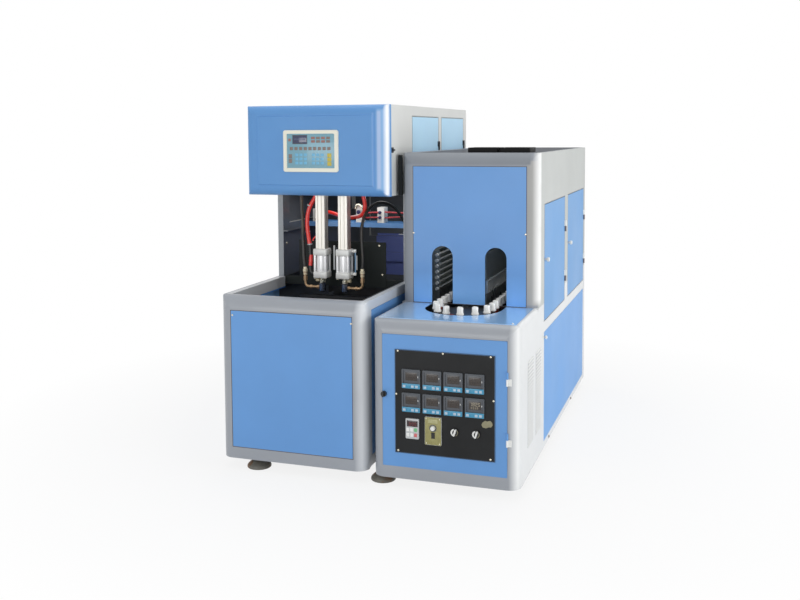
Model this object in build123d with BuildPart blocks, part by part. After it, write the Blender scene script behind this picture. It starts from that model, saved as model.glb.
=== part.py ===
from build123d import *
import os
from math import cos, degrees, atan2, pi, radians, sin, tan

os.makedirs("parts", exist_ok=True)

# A semi-automatic stretch blow moulding machine: a blowing unit on the left, a preform heater on the right.
# X runs to the right, Y from the front to the back and Z up. The origin is on the floor, under the middle
# of the whole machine.

# Overall sizes of the two units
blow_w = 745.0
blow_d = 1829.0
blow_foot_h = 60.0
bench_z = 840.0
blow_top_z = 1750.0
heat_w = 682.0
heat_d = 2050.0
heat_foot_h = 52.0
deck_z = 774.0
heat_top_z = 1513.0
unit_gap = 32.0
tower_front = 450.0

# Sheet metal and frame sections
nose_r = 58.0
upper_nose_r = 50.0
rail = 40.0
wall = 30.0
floor_t = 8.0
sheet_t = 3.0
panel_gap = 1.5
ledge = 14.0
door_t = 20.0
door_gap = 3.0
door_air = 0.5
fit = 0.05
corner_r = 4.0

# What stands out beyond the cabinets on each side
hinge_r = 5.0
cover_over = 7.0
lap_gap = 0.3
pull_out = 22.0
lock_out = 24.0
gland_out = 30.0

# Levelling feet
foot_r = 58.0
foot_h = 28.0
foot_rim = 9.0
foot_hub_r = 20.0
foot_stud_r = 9.0
# insets of the feet: front left, front right and the back pair, each from its nearest two sides
blow_foot_in = ((169.0, 66.0), (169.0, 320.0), (169.0, 66.0))
heat_foot_in = ((24.0, 86.0), (112.0, 320.0), (112.0, 86.0))

left_out = cover_over + 2 * hinge_r + lap_gap
right_out = pull_out
blow_x0 = -(left_out + blow_w + unit_gap + heat_w + right_out) / 2 + left_out
blow_x1 = blow_x0 + blow_w
blow_x = (blow_x0 + blow_x1) / 2
heat_x0 = blow_x1 + unit_gap
heat_x1 = heat_x0 + heat_w
heat_x = (heat_x0 + heat_x1) / 2
front = -(lock_out + heat_d + gland_out) / 2 + lock_out
blow_back = front + blow_d
heat_back = front + heat_d
tower_y = front + tower_front

# Blowing unit
blow_stile = 62.0
blow_top_rail = 68.0
blow_low_rail = 49.0
side_rail_h = 45.0
side_post = 90.0
station_front = 660.0
well_wall = 60.0
head_z = 1302.0
head_front = 305.0
cover_d = 66.0
cover_r = 44.0
cover_gap = 1.0
cover_wall = 4.0
field_in = 70.0
field_in_z = 52.0
field_step = 5.0
bezel_w = 294.0
bezel_h = 207.0
bezel_t = 10.0
bezel_left = 209.0
bezel_top = 1628.0
head_lock_y = 395.0
head_lock_z = 1528.0
head_lock_r = 13.5
lock_stem_r = 6.0
lock_collar_t = 6.0
tongue_l = 30.0
tongue_t = 4.0
side_door_front = 726.0
side_door_low = 1110.0
side_door_top = 1697.0
side_door_w = 484.0
side_door_pitch = 547.0
blow_hinge_in = 165.0
cover_hinge_in = 80.0

# Stretch and seal station
cavity_pitch = 125.5
station_y = 537.0
stretch_side = 52.0
stretch_z = 1015.0
stretch_bore = 16.0
stretch_cap = 14.0
stretch_piston = 16.0
stretch_rod_r = 6.0
stretch_stroke = 300.0
stretch_tip = 8.0
seal_side = 74.0
seal_z = 862.0
seal_cap = 35.0
seal_bore = 25.0
seal_tube_r = 12.0
seal_stroke = 50.0
seal_air = 2.0
seal_rest = 3.0
nozzle_h = 47.0
nozzle_r = 18.0
elbow_reach = 97.0
elbow_tube_r = 7.0
elbow_bend = 20.0
elbow_z = 812.0
elbow_top = 893.0
elbow_nut_r = 11.0
hose_r = 8.0
air_hose_r = 11.5

# Clamp under the bench
mould_w = 300.0
mould_t = 100.0
mould_z = 395.0
mould_top = 735.0
cavity_z = 425.0
cavity_r = 44.0
neck_r = 14.0
shoulder_z = 640.0
neck_z = 700.0
platen_w = 500.0
platen_t = 40.0
platen_z = 335.0
platen_top = 748.0
clamp_stroke = 130.0
tie_r = 22.0
tie_in = 55.0
tie_nut_r = 34.0
tie_nut = 22.0
back_platen_gap = 383.0
clamp_rod_r = 25.0
piston_r = 66.0
piston_t = 30.0
barrel_r = 78.0
cap_side = 180.0
cap_t = 25.0
bed_z = 265.0
bed_beam = 70.0
bed_beam_x = 150.0
trestle_t = 24.0

# Guard, valve shelf and valves behind the station
guard_w = 494.0
guard_top = 1041.0
guard_t = 4.0
guard_y = 655.0
beam_h = 40.0
shelf_y = 954.0
shelf_z = 1113.0
shelf_d = 130.0
shelf_lip = 26.0
# each valve's middle from the housing's left inner wall, its width and its height
valve_sizes = ((62.0, 32.0, 72.0), (325.0, 32.0, 92.0), (455.0, 40.0, 86.0))
valve_d = 60.0

# Heater front and control door
heat_door_w = 578.0
heat_door_low = 100.0
heat_door_top = 708.0
board_x = 3.5
board_w = 459.0
board_low = 168.0
board_top = 639.0
meter = 87.0
meter_pitch_x = 97.8
meter_pitch_z = 107.5
meter_low_z = 403.0
meter_x = -2.5
meter_body = 60.0
bezel_out = 8.0
bezel_rim = 7.0
switch_d = 40.0
drive_pad = (-143.7, 62.0, 284.0, 92.0)
speed_pad = (-46.2, 77.0, 282.0, 127.0)
speed_knob_z = 296.0
speed_knob_r = 11.0
speed_stem_r = 3.0
rocker_z = 262.0
rocker_w = 15.0
rocker_h = 26.0
rocker_pin = 3.0
selector_x = (52.2, 150.2)
selector_z = 285.5
selector_r = 17.0
knob_out = 20.0
heat_lock_x = -280.3
heat_lock_z = 432.0
heat_lock_r = 13.0
heat_hinge_z = (271.0, 541.0)
hinge_h = 60.0
hinge_leaf = 18.0
hinge_leaf_t = 2.0
hinge_pin_r = 2.5
hinge_let_in = 5.5

# Heater deck, tower and side doors
deck_edge = 41.0
deck_in = 22.0
deck_t = 4.0
deck_r = 186.0
deck_margin_r = 20.0
tower_stile = 58.0
tower_rail = 64.0
slot_w = 106.0
slot_x = 133.5
slot_top = 1058.0
oven_door_front = 605.0
oven_door_w = 638.0
oven_door_pitch = 747.0
oven_door_low = 684.0
oven_door_top = 1260.0
oven_hinge_z = (820.0, 1095.0)
pull_z = 988.0
pull_r = 11.0
skirt_low = 80.0
skirt_top = 630.0
louvre_w = 130.0
louvre_h = 7.0
louvre_out = 3.5
louvre_pitch = 16.7
louvre_count = 24
louvre_low = 180.0
louvre_y = (256.0, 453.0)

# Preform carrier chain
teeth = 12
chain_pitch = 70.0
wheel_y = 359.0
wheel_back = 240.0
wheel_phase = 7.0
roller_r = 12.0
chain_z = 742.0
plate_t = 4.0
plate_w = 22.0
roller_h = 12.0
wheel_t = 11.0
pocket_air = 0.6
hub_r = 38.0
shaft_r = 15.0
collar_r = 24.0
collar_h = 12.0
holder_flange_r = 18.0
holder_r = 14.5
holder_flange_h = 9.0
holder_h = 38.0
table_z = 716.0
table_t = 10.0
table_w = 560.0
boss_h = 80.0
track_w = 18.0
gear_side = 120.0
gear_h = 96.0
motor_r = 58.0
motor_l = 210.0
motor_drop = 10.0

# Infrared lamps and fans
lamp_count = 7
lamp_pitch = 29.0
lamp_z = 815.0
lamp_r = 5.5
lamp_end_r = 8.0
lamp_end_l = 34.0
lamp_front = 641.0
lamp_over = 32.0
lamp_x = 215.0
reflector_x = 243.0
reflector_top = 1012.0
reflector_t = 3.0
reflector_lip = 22.0
inner_x = 60.0
inner_front = 560.0
inner_short = 159.0
inner_band = (817.0, 877.0)
inner_band_t = 8.0
fan_y = 620.0
fan_x = (45.0, 205.0)
fan_r = 64.0
fan_hub_r = 20.0
fan_side = 150.0
fan_h = 24.0
fan_blades = 7
fan_strut = 6.0
fan_pin_r = 4.0

# Supply openings at the back
port_r = 15.0
port_l = 24.0
cable_r = 12.0

stretch_top = stretch_z + 2 * stretch_cap + stretch_piston + stretch_stroke + 2 * seal_air
nozzle_z = mould_top + seal_rest + seal_stroke
stretch_tip_z = nozzle_z + stretch_tip
board_face = front - sheet_t
centre_y = front + station_y
column_places = [(blow_x + way * cavity_pitch / 2, centre_y) for way in (-1, 1)]
circle_r = chain_pitch / (2 * sin(pi / teeth))
# as many whole pitches between the wheels as leave room behind the back one
wheel_steps = int((heat_d - wheel_y - wheel_back) / chain_pitch)
wheel_centres = (front + wheel_y, front + wheel_y + wheel_steps * chain_pitch)
# the lamps end behind the back wheel's centre, the inner reflectors before it
lamp_l = wheel_centres[1] + lamp_over - front - lamp_front
inner_l = wheel_centres[1] - inner_short - front - inner_front


def finish(piece, node):
    """Label a finished piece and write it."""
    piece.part.label = node
    export_step(piece.part, f"parts/{node}.step")


def slab(x, y, z, mode=Mode.ADD):
    """Extrude a rectangle, given by its two X and two Y values, between two heights."""
    with BuildSketch(Plane.XY.offset(z[0])) as base:
        with Locations(((x[0] + x[1]) / 2, (y[0] + y[1]) / 2)):
            Rectangle(x[1] - x[0], y[1] - y[0])
    extrude(base.sketch, amount=z[1] - z[0], mode=mode)


def wall_plane(side, along, height, face):
    """A plane on an outer face: its X runs along the wall, its Y up and its normal outwards."""
    if side == "front":
        return Plane(origin=(along, face, height), x_dir=(1, 0, 0), z_dir=(0, -1, 0))
    if side == "back":
        return Plane(origin=(along, face, height), x_dir=(-1, 0, 0), z_dir=(0, 1, 0))
    if side == "right":
        return Plane(origin=(face, along, height), x_dir=(0, 1, 0), z_dir=(1, 0, 0))
    return Plane(origin=(face, along, height), x_dir=(0, -1, 0), z_dir=(-1, 0, 0))


def window(side, along, height, face, seat, through):
    """Cut a seat for a flush sheet or door, and a narrower window behind it."""
    plane = wall_plane(side, sum(along) / 2, sum(height) / 2, face)
    width = along[1] - along[0]
    tall = height[1] - height[0]
    with BuildSketch(plane) as outer:
        Rectangle(width, tall)
    extrude(outer.sketch, amount=-seat, mode=Mode.SUBTRACT)
    with BuildSketch(plane) as inner:
        Rectangle(width - 2 * ledge, tall - 2 * ledge)
    extrude(inner.sketch, amount=-through, mode=Mode.SUBTRACT)


def sheet(side, along, height, face, gap=panel_gap, depth=sheet_t, air=0.0):
    """A flush sheet or door leaf that lies in the seat that window() cuts."""
    plane = wall_plane(side, sum(along) / 2, sum(height) / 2, face)
    with BuildSketch(plane) as leaf:
        RectangleRounded(along[1] - along[0] - 2 * gap, height[1] - height[0] - 2 * gap, corner_r)
    extrude(leaf.sketch, amount=air - depth)


def hinge_half(x, y, z, door_dir, on_door, let_in=0.0):
    """Half of a lift-off hinge: the lower half and its pin on the frame, or the upper half on the door."""
    reach = hinge_leaf if on_door else -hinge_leaf
    base_z = z + lap_gap if on_door else z - hinge_h / 2
    top_z = z + hinge_h / 2 if on_door else z
    with BuildSketch(Plane(origin=(x, y, base_z), x_dir=door_dir, z_dir=(0, 0, 1))) as half:
        Circle(hinge_r)
        with Locations((reach / 2, (hinge_leaf_t - let_in) / 2 - hinge_r)):
            Rectangle(hinge_leaf, hinge_leaf_t + let_in)
        if on_door:
            Circle(hinge_pin_r + fit, mode=Mode.SUBTRACT)
    extrude(half.sketch, amount=top_z - base_z)
    if not on_door:
        with BuildSketch(Plane.XY.offset(z)) as pin:
            with Locations((x, y)):
                Circle(hinge_pin_r)
        extrude(pin.sketch, amount=hinge_h / 2 - lap_gap)


def round_nose(x0, x1, y0, y1, z0, z1, radius, top_r=0.0):
    """A cabinet front whose rounded uprights and rails meet in mitres."""
    with BuildSketch(Plane.XY.offset(z0)) as plan:
        with Locations(((x0 + x1) / 2, (y0 + y1) / 2)):
            Rectangle(x1 - x0, y1 - y0)
        fillet(plan.vertices().group_by(Axis.Y)[0], radius=radius)
    extrude(plan.sketch, amount=z1 - z0)
    with BuildSketch(Plane.YZ.offset(x0)) as flank:
        with Locations(((y0 + y1) / 2, (z0 + z1) / 2)):
            Rectangle(y1 - y0, z1 - z0)
        fillet(flank.vertices().group_by(Axis.X)[0], radius=radius)
    extrude(flank.sketch, amount=x1 - x0, mode=Mode.INTERSECT)
    if top_r:
        with BuildSketch(Plane.XZ.offset(-y1)) as elevation:
            with Locations(((x0 + x1) / 2, (z0 + z1) / 2)):
                Rectangle(x1 - x0, z1 - z0)
            fillet(elevation.vertices().group_by(Axis.Y)[-1], radius=top_r)
        extrude(elevation.sketch, amount=y1 - y0, mode=Mode.INTERSECT)


# Levelling feet, four under each cabinet; the front right foot stands further back than the left one
def foot_places(x0, x1, y0, y1, insets):
    front_left, front_right, back_pair = insets
    return [
        (x0 + front_left[0], y0 + front_left[1]), (x1 - front_right[0], y0 + front_right[1]),
        (x0 + back_pair[0], y1 - back_pair[1]), (x1 - back_pair[0], y1 - back_pair[1]),
    ]


with BuildPart() as levelling_feet:
    for unit_h, places in (
        (blow_foot_h, foot_places(blow_x0, blow_x1, front, blow_back, blow_foot_in)),
        (heat_foot_h, foot_places(heat_x0, heat_x1, front, heat_back, heat_foot_in)),
    ):
        for place_x, place_y in places:
            with BuildSketch(Plane.XZ.offset(-place_y)):
                with BuildLine():
                    Polyline(
                        (place_x, 0), (place_x + foot_r, 0), (place_x + foot_r, foot_rim),
                        (place_x + foot_hub_r, foot_h), (place_x + foot_stud_r, foot_h),
                        (place_x + foot_stud_r, unit_h), (place_x, unit_h), (place_x, 0),
                    )
                make_face()
            revolve(axis=Axis((place_x, place_y, 0), (0, 0, 1)))
finish(levelling_feet, "levelling_feet")

# Lower cabinet of the blowing unit: a welded frame with an open well and the bed that the clamp stands on
blow_panel_x = (blow_x0 + blow_stile, blow_x1 - blow_stile)
blow_panel_z = (blow_foot_h + blow_low_rail, bench_z - blow_top_rail)
blow_side_y = (front + side_post, blow_back - side_post)
blow_side_z = (blow_foot_h + blow_low_rail, bench_z - side_rail_h)
bench_back_x = (blow_x0 + side_post, blow_x1 - side_post)
clamp_front = front + station_y - mould_t - platen_t
clamp_back = front + station_y + mould_t + platen_t
back_platen_y = clamp_back + back_platen_gap
with BuildPart() as blow_cabinet:
    round_nose(blow_x0, blow_x1, front, blow_back, blow_foot_h, bench_z, nose_r)
    slab((blow_x0 + rail, blow_x1 - rail), (front + well_wall, blow_back - rail),
         (blow_foot_h + floor_t, bench_z), Mode.SUBTRACT)
    window("front", blow_panel_x, blow_panel_z, front, sheet_t, well_wall)
    window("left", blow_side_y, blow_side_z, blow_x0, sheet_t, rail + sheet_t)
    window("right", blow_side_y, blow_side_z, blow_x1, sheet_t, rail + sheet_t)
    window("back", bench_back_x, blow_side_z, blow_back, sheet_t, rail + sheet_t)
    for beam_side in (-1, 1):
        beam_x = blow_x + beam_side * bed_beam_x
        slab((beam_x - bed_beam / 2, beam_x + bed_beam / 2), (front + well_wall, blow_back - rail),
             (bed_z, platen_z))
    for trestle_y in (clamp_front, back_platen_y):
        slab((blow_x - bed_beam_x - bed_beam / 2, blow_x + bed_beam_x + bed_beam / 2),
             (trestle_y, trestle_y + trestle_t), (blow_foot_h + floor_t, bed_z))
finish(blow_cabinet, "blow_cabinet")

with BuildPart() as blow_front_panel:
    sheet("front", blow_panel_x, blow_panel_z, front)
finish(blow_front_panel, "blow_front_panel")

# Upper housing: the head overhangs the station, with 30 mm walls that carry the side doors
post_y = front + station_front
head_y = front + head_front + cover_d
shell_front = head_y + cover_gap
door_starts = [front + side_door_front + n * side_door_pitch for n in range(2)]
door_spans = [(start, start + side_door_w) for start in door_starts]
side_door_z = (side_door_low, side_door_top)
blow_hinge_z = (side_door_top - blow_hinge_in, side_door_low + blow_hinge_in)
with BuildPart() as blow_housing:
    with BuildSketch(Plane.YZ.offset(blow_x0)):
        with BuildLine():
            Polyline(
                (shell_front, head_z), (shell_front, blow_top_z), (blow_back, blow_top_z),
                (blow_back, bench_z), (post_y, bench_z), (post_y, head_z), (shell_front, head_z),
            )
        make_face()
    extrude(amount=blow_w)
    with BuildSketch(Plane.YZ.offset(blow_x0 + wall)):
        with BuildLine():
            Polyline(
                (shell_front, head_z + wall / 2), (shell_front, blow_top_z - wall / 2),
                (blow_back - wall, blow_top_z - wall / 2), (blow_back - wall, bench_z), (post_y, bench_z),
                (post_y, head_z + wall / 2), (shell_front, head_z + wall / 2),
            )
        make_face()
    extrude(amount=blow_w - 2 * wall, mode=Mode.SUBTRACT)
    for door_y in door_spans:
        window("right", door_y, side_door_z, blow_x1, door_t + door_air, wall)
        window("left", door_y, side_door_z, blow_x0, sheet_t, wall)
    window("back", bench_back_x, (bench_z + side_post, blow_top_z - side_post), blow_back, sheet_t, wall)
    # the stretch cylinders pass through the head's floor
    hole = stretch_side / 2 + lap_gap
    for column_x, column_y in column_places:
        slab((column_x - hole, column_x + hole), (column_y - hole, column_y + hole),
             (head_z, head_z + wall / 2), Mode.SUBTRACT)
    # bore for the stem of the head cover's lock
    with BuildSketch(wall_plane("right", front + head_lock_y, head_lock_z, blow_x1)):
        Circle(lock_stem_r + fit)
    extrude(amount=-wall, mode=Mode.SUBTRACT)
    # depth rail on each inner wall, where the valve shelf is screwed
    for rail_x in (blow_x0 + wall, blow_x1 - wall - shelf_lip):
        slab((rail_x, rail_x + shelf_lip), (post_y, front + shelf_y + shelf_d),
             (shelf_z - shelf_lip - sheet_t, shelf_z - shelf_lip))
finish(blow_housing, "blow_housing")

with BuildPart() as blow_cover_panels:
    sheet("left", blow_side_y, blow_side_z, blow_x0)
    sheet("right", blow_side_y, blow_side_z, blow_x1)
    sheet("back", bench_back_x, blow_side_z, blow_back)
    sheet("back", bench_back_x, (bench_z + side_post, blow_top_z - side_post), blow_back)
    for door_y in door_spans:
        sheet("left", door_y, side_door_z, blow_x0)
    # supply socket for the compressed air at the foot of the back panel
    with BuildSketch(wall_plane("back", blow_x, blow_side_z[0] + side_post, blow_back)) as socket:
        Circle(port_r + 2 * sheet_t)
    extrude(socket.sketch, amount=port_l - sheet_t)
    with BuildSketch(wall_plane("back", blow_x, blow_side_z[0] + side_post, blow_back)) as socket_bore:
        Circle(port_r)
    extrude(socket_bore.sketch, amount=port_l, both=True, mode=Mode.SUBTRACT)
finish(blow_cover_panels, "blow_cover_panels")

# Two side doors of the blowing unit, hinged at their back edges
for number, door_y in enumerate(door_spans):
    with BuildPart() as blow_door:
        sheet("right", door_y, side_door_z, blow_x1, door_gap, door_t)
        for hinge_z in blow_hinge_z:
            hinge_half(blow_x1 + hinge_r, door_y[1], hinge_z, (0, -1, 0), True)
    finish(blow_door, f"blow_side_door_{number + 1}")

# Head cover: a pressed tray with rounded mitred edges and a raised field
cover_x0 = blow_x0 - cover_over
cover_x1 = blow_x1 + cover_over
cover_y = front + head_front
cover_axis = (cover_x0 - hinge_r - lap_gap, head_y - hinge_r)
cover_hinge_z = (head_z + cover_hinge_in, blow_top_z - cover_hinge_in)
with BuildPart() as head_cover:
    round_nose(cover_x0, cover_x1, cover_y + field_step, head_y, head_z, blow_top_z, cover_r)
    with BuildSketch(wall_plane("front", blow_x, (head_z + blow_top_z) / 2, cover_y + field_step)) as field:
        RectangleRounded(cover_x1 - cover_x0 - 2 * field_in, blow_top_z - head_z - 2 * field_in_z, corner_r)
    extrude(amount=field_step, taper=30)
    slab((cover_x0 + cover_r, cover_x1 - cover_r), (cover_y + field_step + cover_wall, head_y),
         (head_z + cover_r, blow_top_z - cover_r), Mode.SUBTRACT)
    for hinge_z in cover_hinge_z:
        with BuildSketch(Plane.XY.offset(hinge_z + lap_gap)):
            with Locations(cover_axis):
                Circle(hinge_r)
            with Locations((cover_x0 - hinge_leaf_t / 2, cover_axis[1] - hinge_r / 2)):
                Rectangle(hinge_leaf_t, hinge_leaf - hinge_r)
            with Locations(cover_axis):
                Circle(hinge_pin_r + fit, mode=Mode.SUBTRACT)
        extrude(amount=hinge_h / 2 - lap_gap)
finish(head_cover, "head_cover")

with BuildPart() as control_panel:
    panel_plane = wall_plane("front", blow_x0 + bezel_left + bezel_w / 2, bezel_top - bezel_h / 2, cover_y)
    with BuildSketch(panel_plane):
        RectangleRounded(bezel_w, bezel_h, 12)
    extrude(amount=bezel_t)
    fillet(control_panel.faces().sort_by(Axis.Y)[0].edges(), radius=4)
    with BuildSketch(panel_plane.offset(bezel_t)):
        RectangleRounded(bezel_w - 38, bezel_h - 36, 6)
    extrude(amount=-2, mode=Mode.SUBTRACT)
finish(control_panel, "control_panel")

# Quarter-turn lock of the head cover, on the right wall
with BuildPart() as head_lock:
    lock_plane = wall_plane("right", front + head_lock_y, head_lock_z, blow_x1 + lap_gap)
    with BuildSketch(lock_plane):
        Circle(head_lock_r)
    extrude(amount=lock_out / 3)
    with BuildSketch(lock_plane.offset(lock_out / 3)):
        SlotOverall(2 * head_lock_r - 2, head_lock_r * 0.7)
    extrude(amount=lock_out / 4)
    stem_l = wall + 2 * lap_gap
    with BuildSketch(lock_plane):
        Circle(lock_stem_r)
    extrude(amount=-stem_l)
    with BuildSketch(lock_plane.offset(-stem_l)):
        Circle(2 * lock_stem_r)
    extrude(amount=-lock_collar_t)
finish(head_lock, "head_cover_lock")

# Stretch and seal columns, one above each mould cavity
with BuildPart() as stretch_cylinders:
    with BuildSketch(Plane.XY.offset(stretch_z)):
        for place in column_places:
            with Locations(place):
                RectangleRounded(stretch_side, stretch_side, corner_r)
                with PolarLocations(stretch_side / 2, 4):
                    with Locations((0, stretch_side / 5), (0, -stretch_side / 5)):
                        Rectangle(stretch_side / 6, stretch_side / 9, mode=Mode.SUBTRACT)
    extrude(amount=stretch_top - stretch_z)
    with BuildSketch(Plane.XY.offset(stretch_z + stretch_cap)):
        with Locations(*column_places):
            Circle(stretch_bore)
    extrude(amount=stretch_top - stretch_z - 2 * stretch_cap, mode=Mode.SUBTRACT)
    with BuildSketch(Plane.XY.offset(stretch_z)) as rod_hole:
        with Locations(*column_places):
            Circle(stretch_rod_r + fit)
    extrude(amount=stretch_cap, mode=Mode.SUBTRACT)
finish(stretch_cylinders, "stretch_cylinders")

with BuildPart() as seal_cylinders:
    for cap_z in (seal_z, stretch_z - seal_cap):
        with BuildSketch(Plane.XY.offset(cap_z)):
            with Locations(*column_places):
                RectangleRounded(seal_side, seal_side, 2 * corner_r)
        extrude(amount=seal_cap)
    with BuildSketch(Plane.XY.offset(seal_z + seal_cap)):
        for place in column_places:
            with Locations(place):
                Circle(seal_side / 2 - corner_r)
                with GridLocations(seal_side - 4 * corner_r, seal_side - 4 * corner_r, 2, 2):
                    Circle(2 * corner_r - 1)
    extrude(amount=stretch_z - seal_z - 2 * seal_cap)
    with BuildSketch(Plane.XY.offset(seal_z + seal_cap / 2)):
        with Locations(*column_places):
            Circle(seal_bore)
    extrude(amount=stretch_z - seal_z - seal_cap, mode=Mode.SUBTRACT)
    with BuildSketch(Plane.XY.offset(seal_z)):
        with Locations(*column_places):
            Circle(seal_tube_r + fit)
    extrude(amount=seal_cap / 2, mode=Mode.SUBTRACT)
    with BuildSketch(Plane.XY.offset(stretch_z - seal_cap / 2)):
        with Locations(*column_places):
            Circle(stretch_rod_r + 4 * fit)
    extrude(amount=seal_cap / 2, mode=Mode.SUBTRACT)
finish(seal_cylinders, "seal_cylinders")

for side, way, (column_x, _) in zip(("left", "right"), (-1, 1), column_places):
    axis_at = Location((column_x, centre_y, 0))

    # the rod hangs from its piston, through the seal cylinder and the nozzle, over the neck of the cavity
    piston_top = stretch_top - stretch_cap - seal_air
    with BuildPart() as stretch_rod:
        with BuildSketch(Plane.XZ.offset(-centre_y)):
            with BuildLine():
                Polyline(
                    (column_x, stretch_tip_z), (column_x, piston_top),
                    (column_x + stretch_bore - fit, piston_top),
                    (column_x + stretch_bore - fit, piston_top - stretch_piston),
                    (column_x + stretch_rod_r, piston_top - stretch_piston),
                    (column_x + stretch_rod_r, stretch_tip_z + stretch_rod_r),
                )
                CenterArc((column_x, stretch_tip_z + stretch_rod_r), stretch_rod_r, 0, -90)
            make_face()
        revolve(axis=Axis((column_x, centre_y, 0), (0, 0, 1)))
    finish(stretch_rod, f"stretch_rod_{side}")

    # hollow piston tube, tee block and seal nose: the blowing air passes round the stretch rod
    tube_top = stretch_z - seal_cap / 2 - seal_air
    tee_top = nozzle_z + nozzle_h
    with BuildPart() as seal_nozzle:
        with BuildSketch(Plane.XZ.offset(-centre_y)):
            with BuildLine():
                Polyline(
                    (column_x + stretch_rod_r + 2, nozzle_z), (column_x + neck_r - 1, nozzle_z),
                    (column_x + nozzle_r, nozzle_z + 6), (column_x + nozzle_r, tee_top - 4),
                    (column_x + nozzle_r - 4, tee_top), (column_x + seal_tube_r, tee_top),
                    (column_x + seal_tube_r, tube_top - seal_tube_r),
                    (column_x + seal_bore - fit, tube_top - seal_tube_r),
                    (column_x + seal_bore - fit, tube_top), (column_x + stretch_rod_r + 2, tube_top),
                    (column_x + stretch_rod_r + 2, nozzle_z),
                )
            make_face()
        revolve(axis=Axis((column_x, centre_y, 0), (0, 0, 1)))
        with BuildSketch(Plane.XY.offset(tee_top) * axis_at):
            RegularPolygon(seal_tube_r + 4, 6)
            Circle(stretch_rod_r + 2, mode=Mode.SUBTRACT)
        extrude(amount=(seal_z - tee_top) * 0.6 - seal_air)
    finish(seal_nozzle, f"seal_nozzle_{side}")

    # brass elbow from the tee to the blowing hose
    elbow_x = column_x + way * elbow_reach
    with BuildPart() as blow_elbow:
        with BuildLine() as elbow_path:
            FilletPolyline(
                (column_x + way * nozzle_r, centre_y, elbow_z), (elbow_x, centre_y, elbow_z),
                (elbow_x, centre_y, elbow_top), radius=elbow_bend,
            )
        elbow_start = Plane(origin=elbow_path.line @ 0, x_dir=(0, 1, 0), z_dir=(way, 0, 0))
        with BuildSketch(elbow_start):
            Circle(elbow_tube_r)
        sweep()
        for nut_x in (nozzle_r, nozzle_r + 2 * elbow_bend):
            with BuildSketch(elbow_start.offset(nut_x - nozzle_r)):
                RegularPolygon(elbow_nut_r - 1, 6)
            extrude(amount=elbow_nut_r)
        for nut_z in (elbow_top - 4.5 * elbow_nut_r, elbow_top - 2 * elbow_nut_r):
            with BuildSketch(Plane.XY.offset(nut_z) * Location((elbow_x, centre_y, 0))):
                RegularPolygon(elbow_nut_r, 6)
            extrude(amount=2 * elbow_nut_r)
    finish(blow_elbow, f"blow_elbow_{side}")


def hose_runs(points):
    """The radius for each corner of a hose: 0.45 of its shorter run over the tangent of half its turn."""
    radii = []
    for before, corner, after in zip(points, points[1:], points[2:]):
        run_in = Vector(*corner) - Vector(*before)
        run_out = Vector(*after) - Vector(*corner)
        half_turn = radians(run_in.get_angle(run_out)) / 2
        radii.append(0.45 * min(run_in.length, run_out.length) / tan(half_turn))
    return radii


def hose(points, radius):
    """A hose of straight runs and tangent arcs through its route."""
    radii = hose_runs(points)
    with BuildLine() as route:
        FilletPolyline(*points, radius=radii)
    path = route.wire()
    with BuildSketch(Plane(origin=path @ 0, z_dir=path % 0)) as bore:
        Circle(radius)
    sweep(bore.sketch, path=path)
    print("hose", round(path.length, 1), "mm, radii", [round(r) for r in radii])
    return path.length * pi * radius**2


# Routes are chosen by hand, from the point on the floor midway between the two columns. Their ends follow
# the elbows, the seal cylinders, the head's floor and the housing's right wall.
elbow_at = cavity_pitch / 2 + elbow_reach
seal_face = (cavity_pitch + seal_side) / 2
wall_at = blow_w / 2 - wall
left_hose = (
    (-elbow_at, 0.0, elbow_top), (-elbow_at, 0.0, 913.0), (-165.5, 0.0, 955.0), (-167.5, 1.0, 1010.0),
    (-172.5, 3.0, 1075.0), (-173.5, 8.0, 1140.0), (-179.5, 11.0, 1205.0), (-182.5, 13.0, 1265.0),
    (-182.5, 13.0, head_z),
)
right_hose = (
    (elbow_at, 0.0, elbow_top), (elbow_at, 0.0, 913.0), (164.5, 0.0, 955.0), (160.5, 1.0, 1010.0),
    (155.5, 5.0, 1070.0), (152.5, 13.0, 1130.0), (158.5, 38.0, 1185.0), (176.5, 75.0, 1228.0),
    (wall_at - 135.0, 123.0, 1249.0), (wall_at - 99.0, 175.0, 1240.0), (wall_at - 68.0, 223.0, 1205.0),
    (wall_at - 47.0, 253.0, 1155.0), (wall_at - 32.0, 263.0, 1124.0), (wall_at - 18.0, 266.0, 1112.0),
    (wall_at, 266.0, 1112.0),
)
left_air = (
    (-106.5, 25.0, head_z), (-106.5, 25.0, 1284.0), (-120.5, 24.0, 1262.0), (-142.5, 23.0, 1225.0),
    (-154.5, 20.0, 1175.0), (-153.5, 16.0, 1120.0), (-143.5, 12.0, 1068.0), (-133.5, 8.0, 1015.0),
    (-129.5, 4.0, 960.0), (-131.5, 1.0, 920.0), (-129.5, 0.0, 893.0), (-118.5, 0.0, 879.0),
    (-seal_face, 0.0, 879.0),
)
right_air = (
    (145.5, 61.0, head_z), (145.5, 61.0, 1284.0), (150.5, 63.0, 1268.0), (153.5, 66.0, 1232.0),
    (141.5, 73.0, 1200.0), (115.5, 85.0, 1182.0), (95.5, 113.0, 1176.0), (87.5, 163.0, 1174.0),
    (86.5, 223.0, 1172.0), (87.5, 283.0, 1170.0), (86.5, 343.0, 1168.0), (87.5, 388.0, 1165.0),
    (87.5, shelf_y - station_y, 1165.0),
)


def placed(route):
    return [(blow_x + x, centre_y + y, z) for x, y, z in route]


for side, route in (("left", left_hose), ("right", right_hose)):
    with BuildPart() as blow_hose:
        expected = hose(placed(route), hose_r)
    print("volume over section times length", round(blow_hose.part.volume / expected, 4))
    finish(blow_hose, f"blow_hose_{side}")

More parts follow.
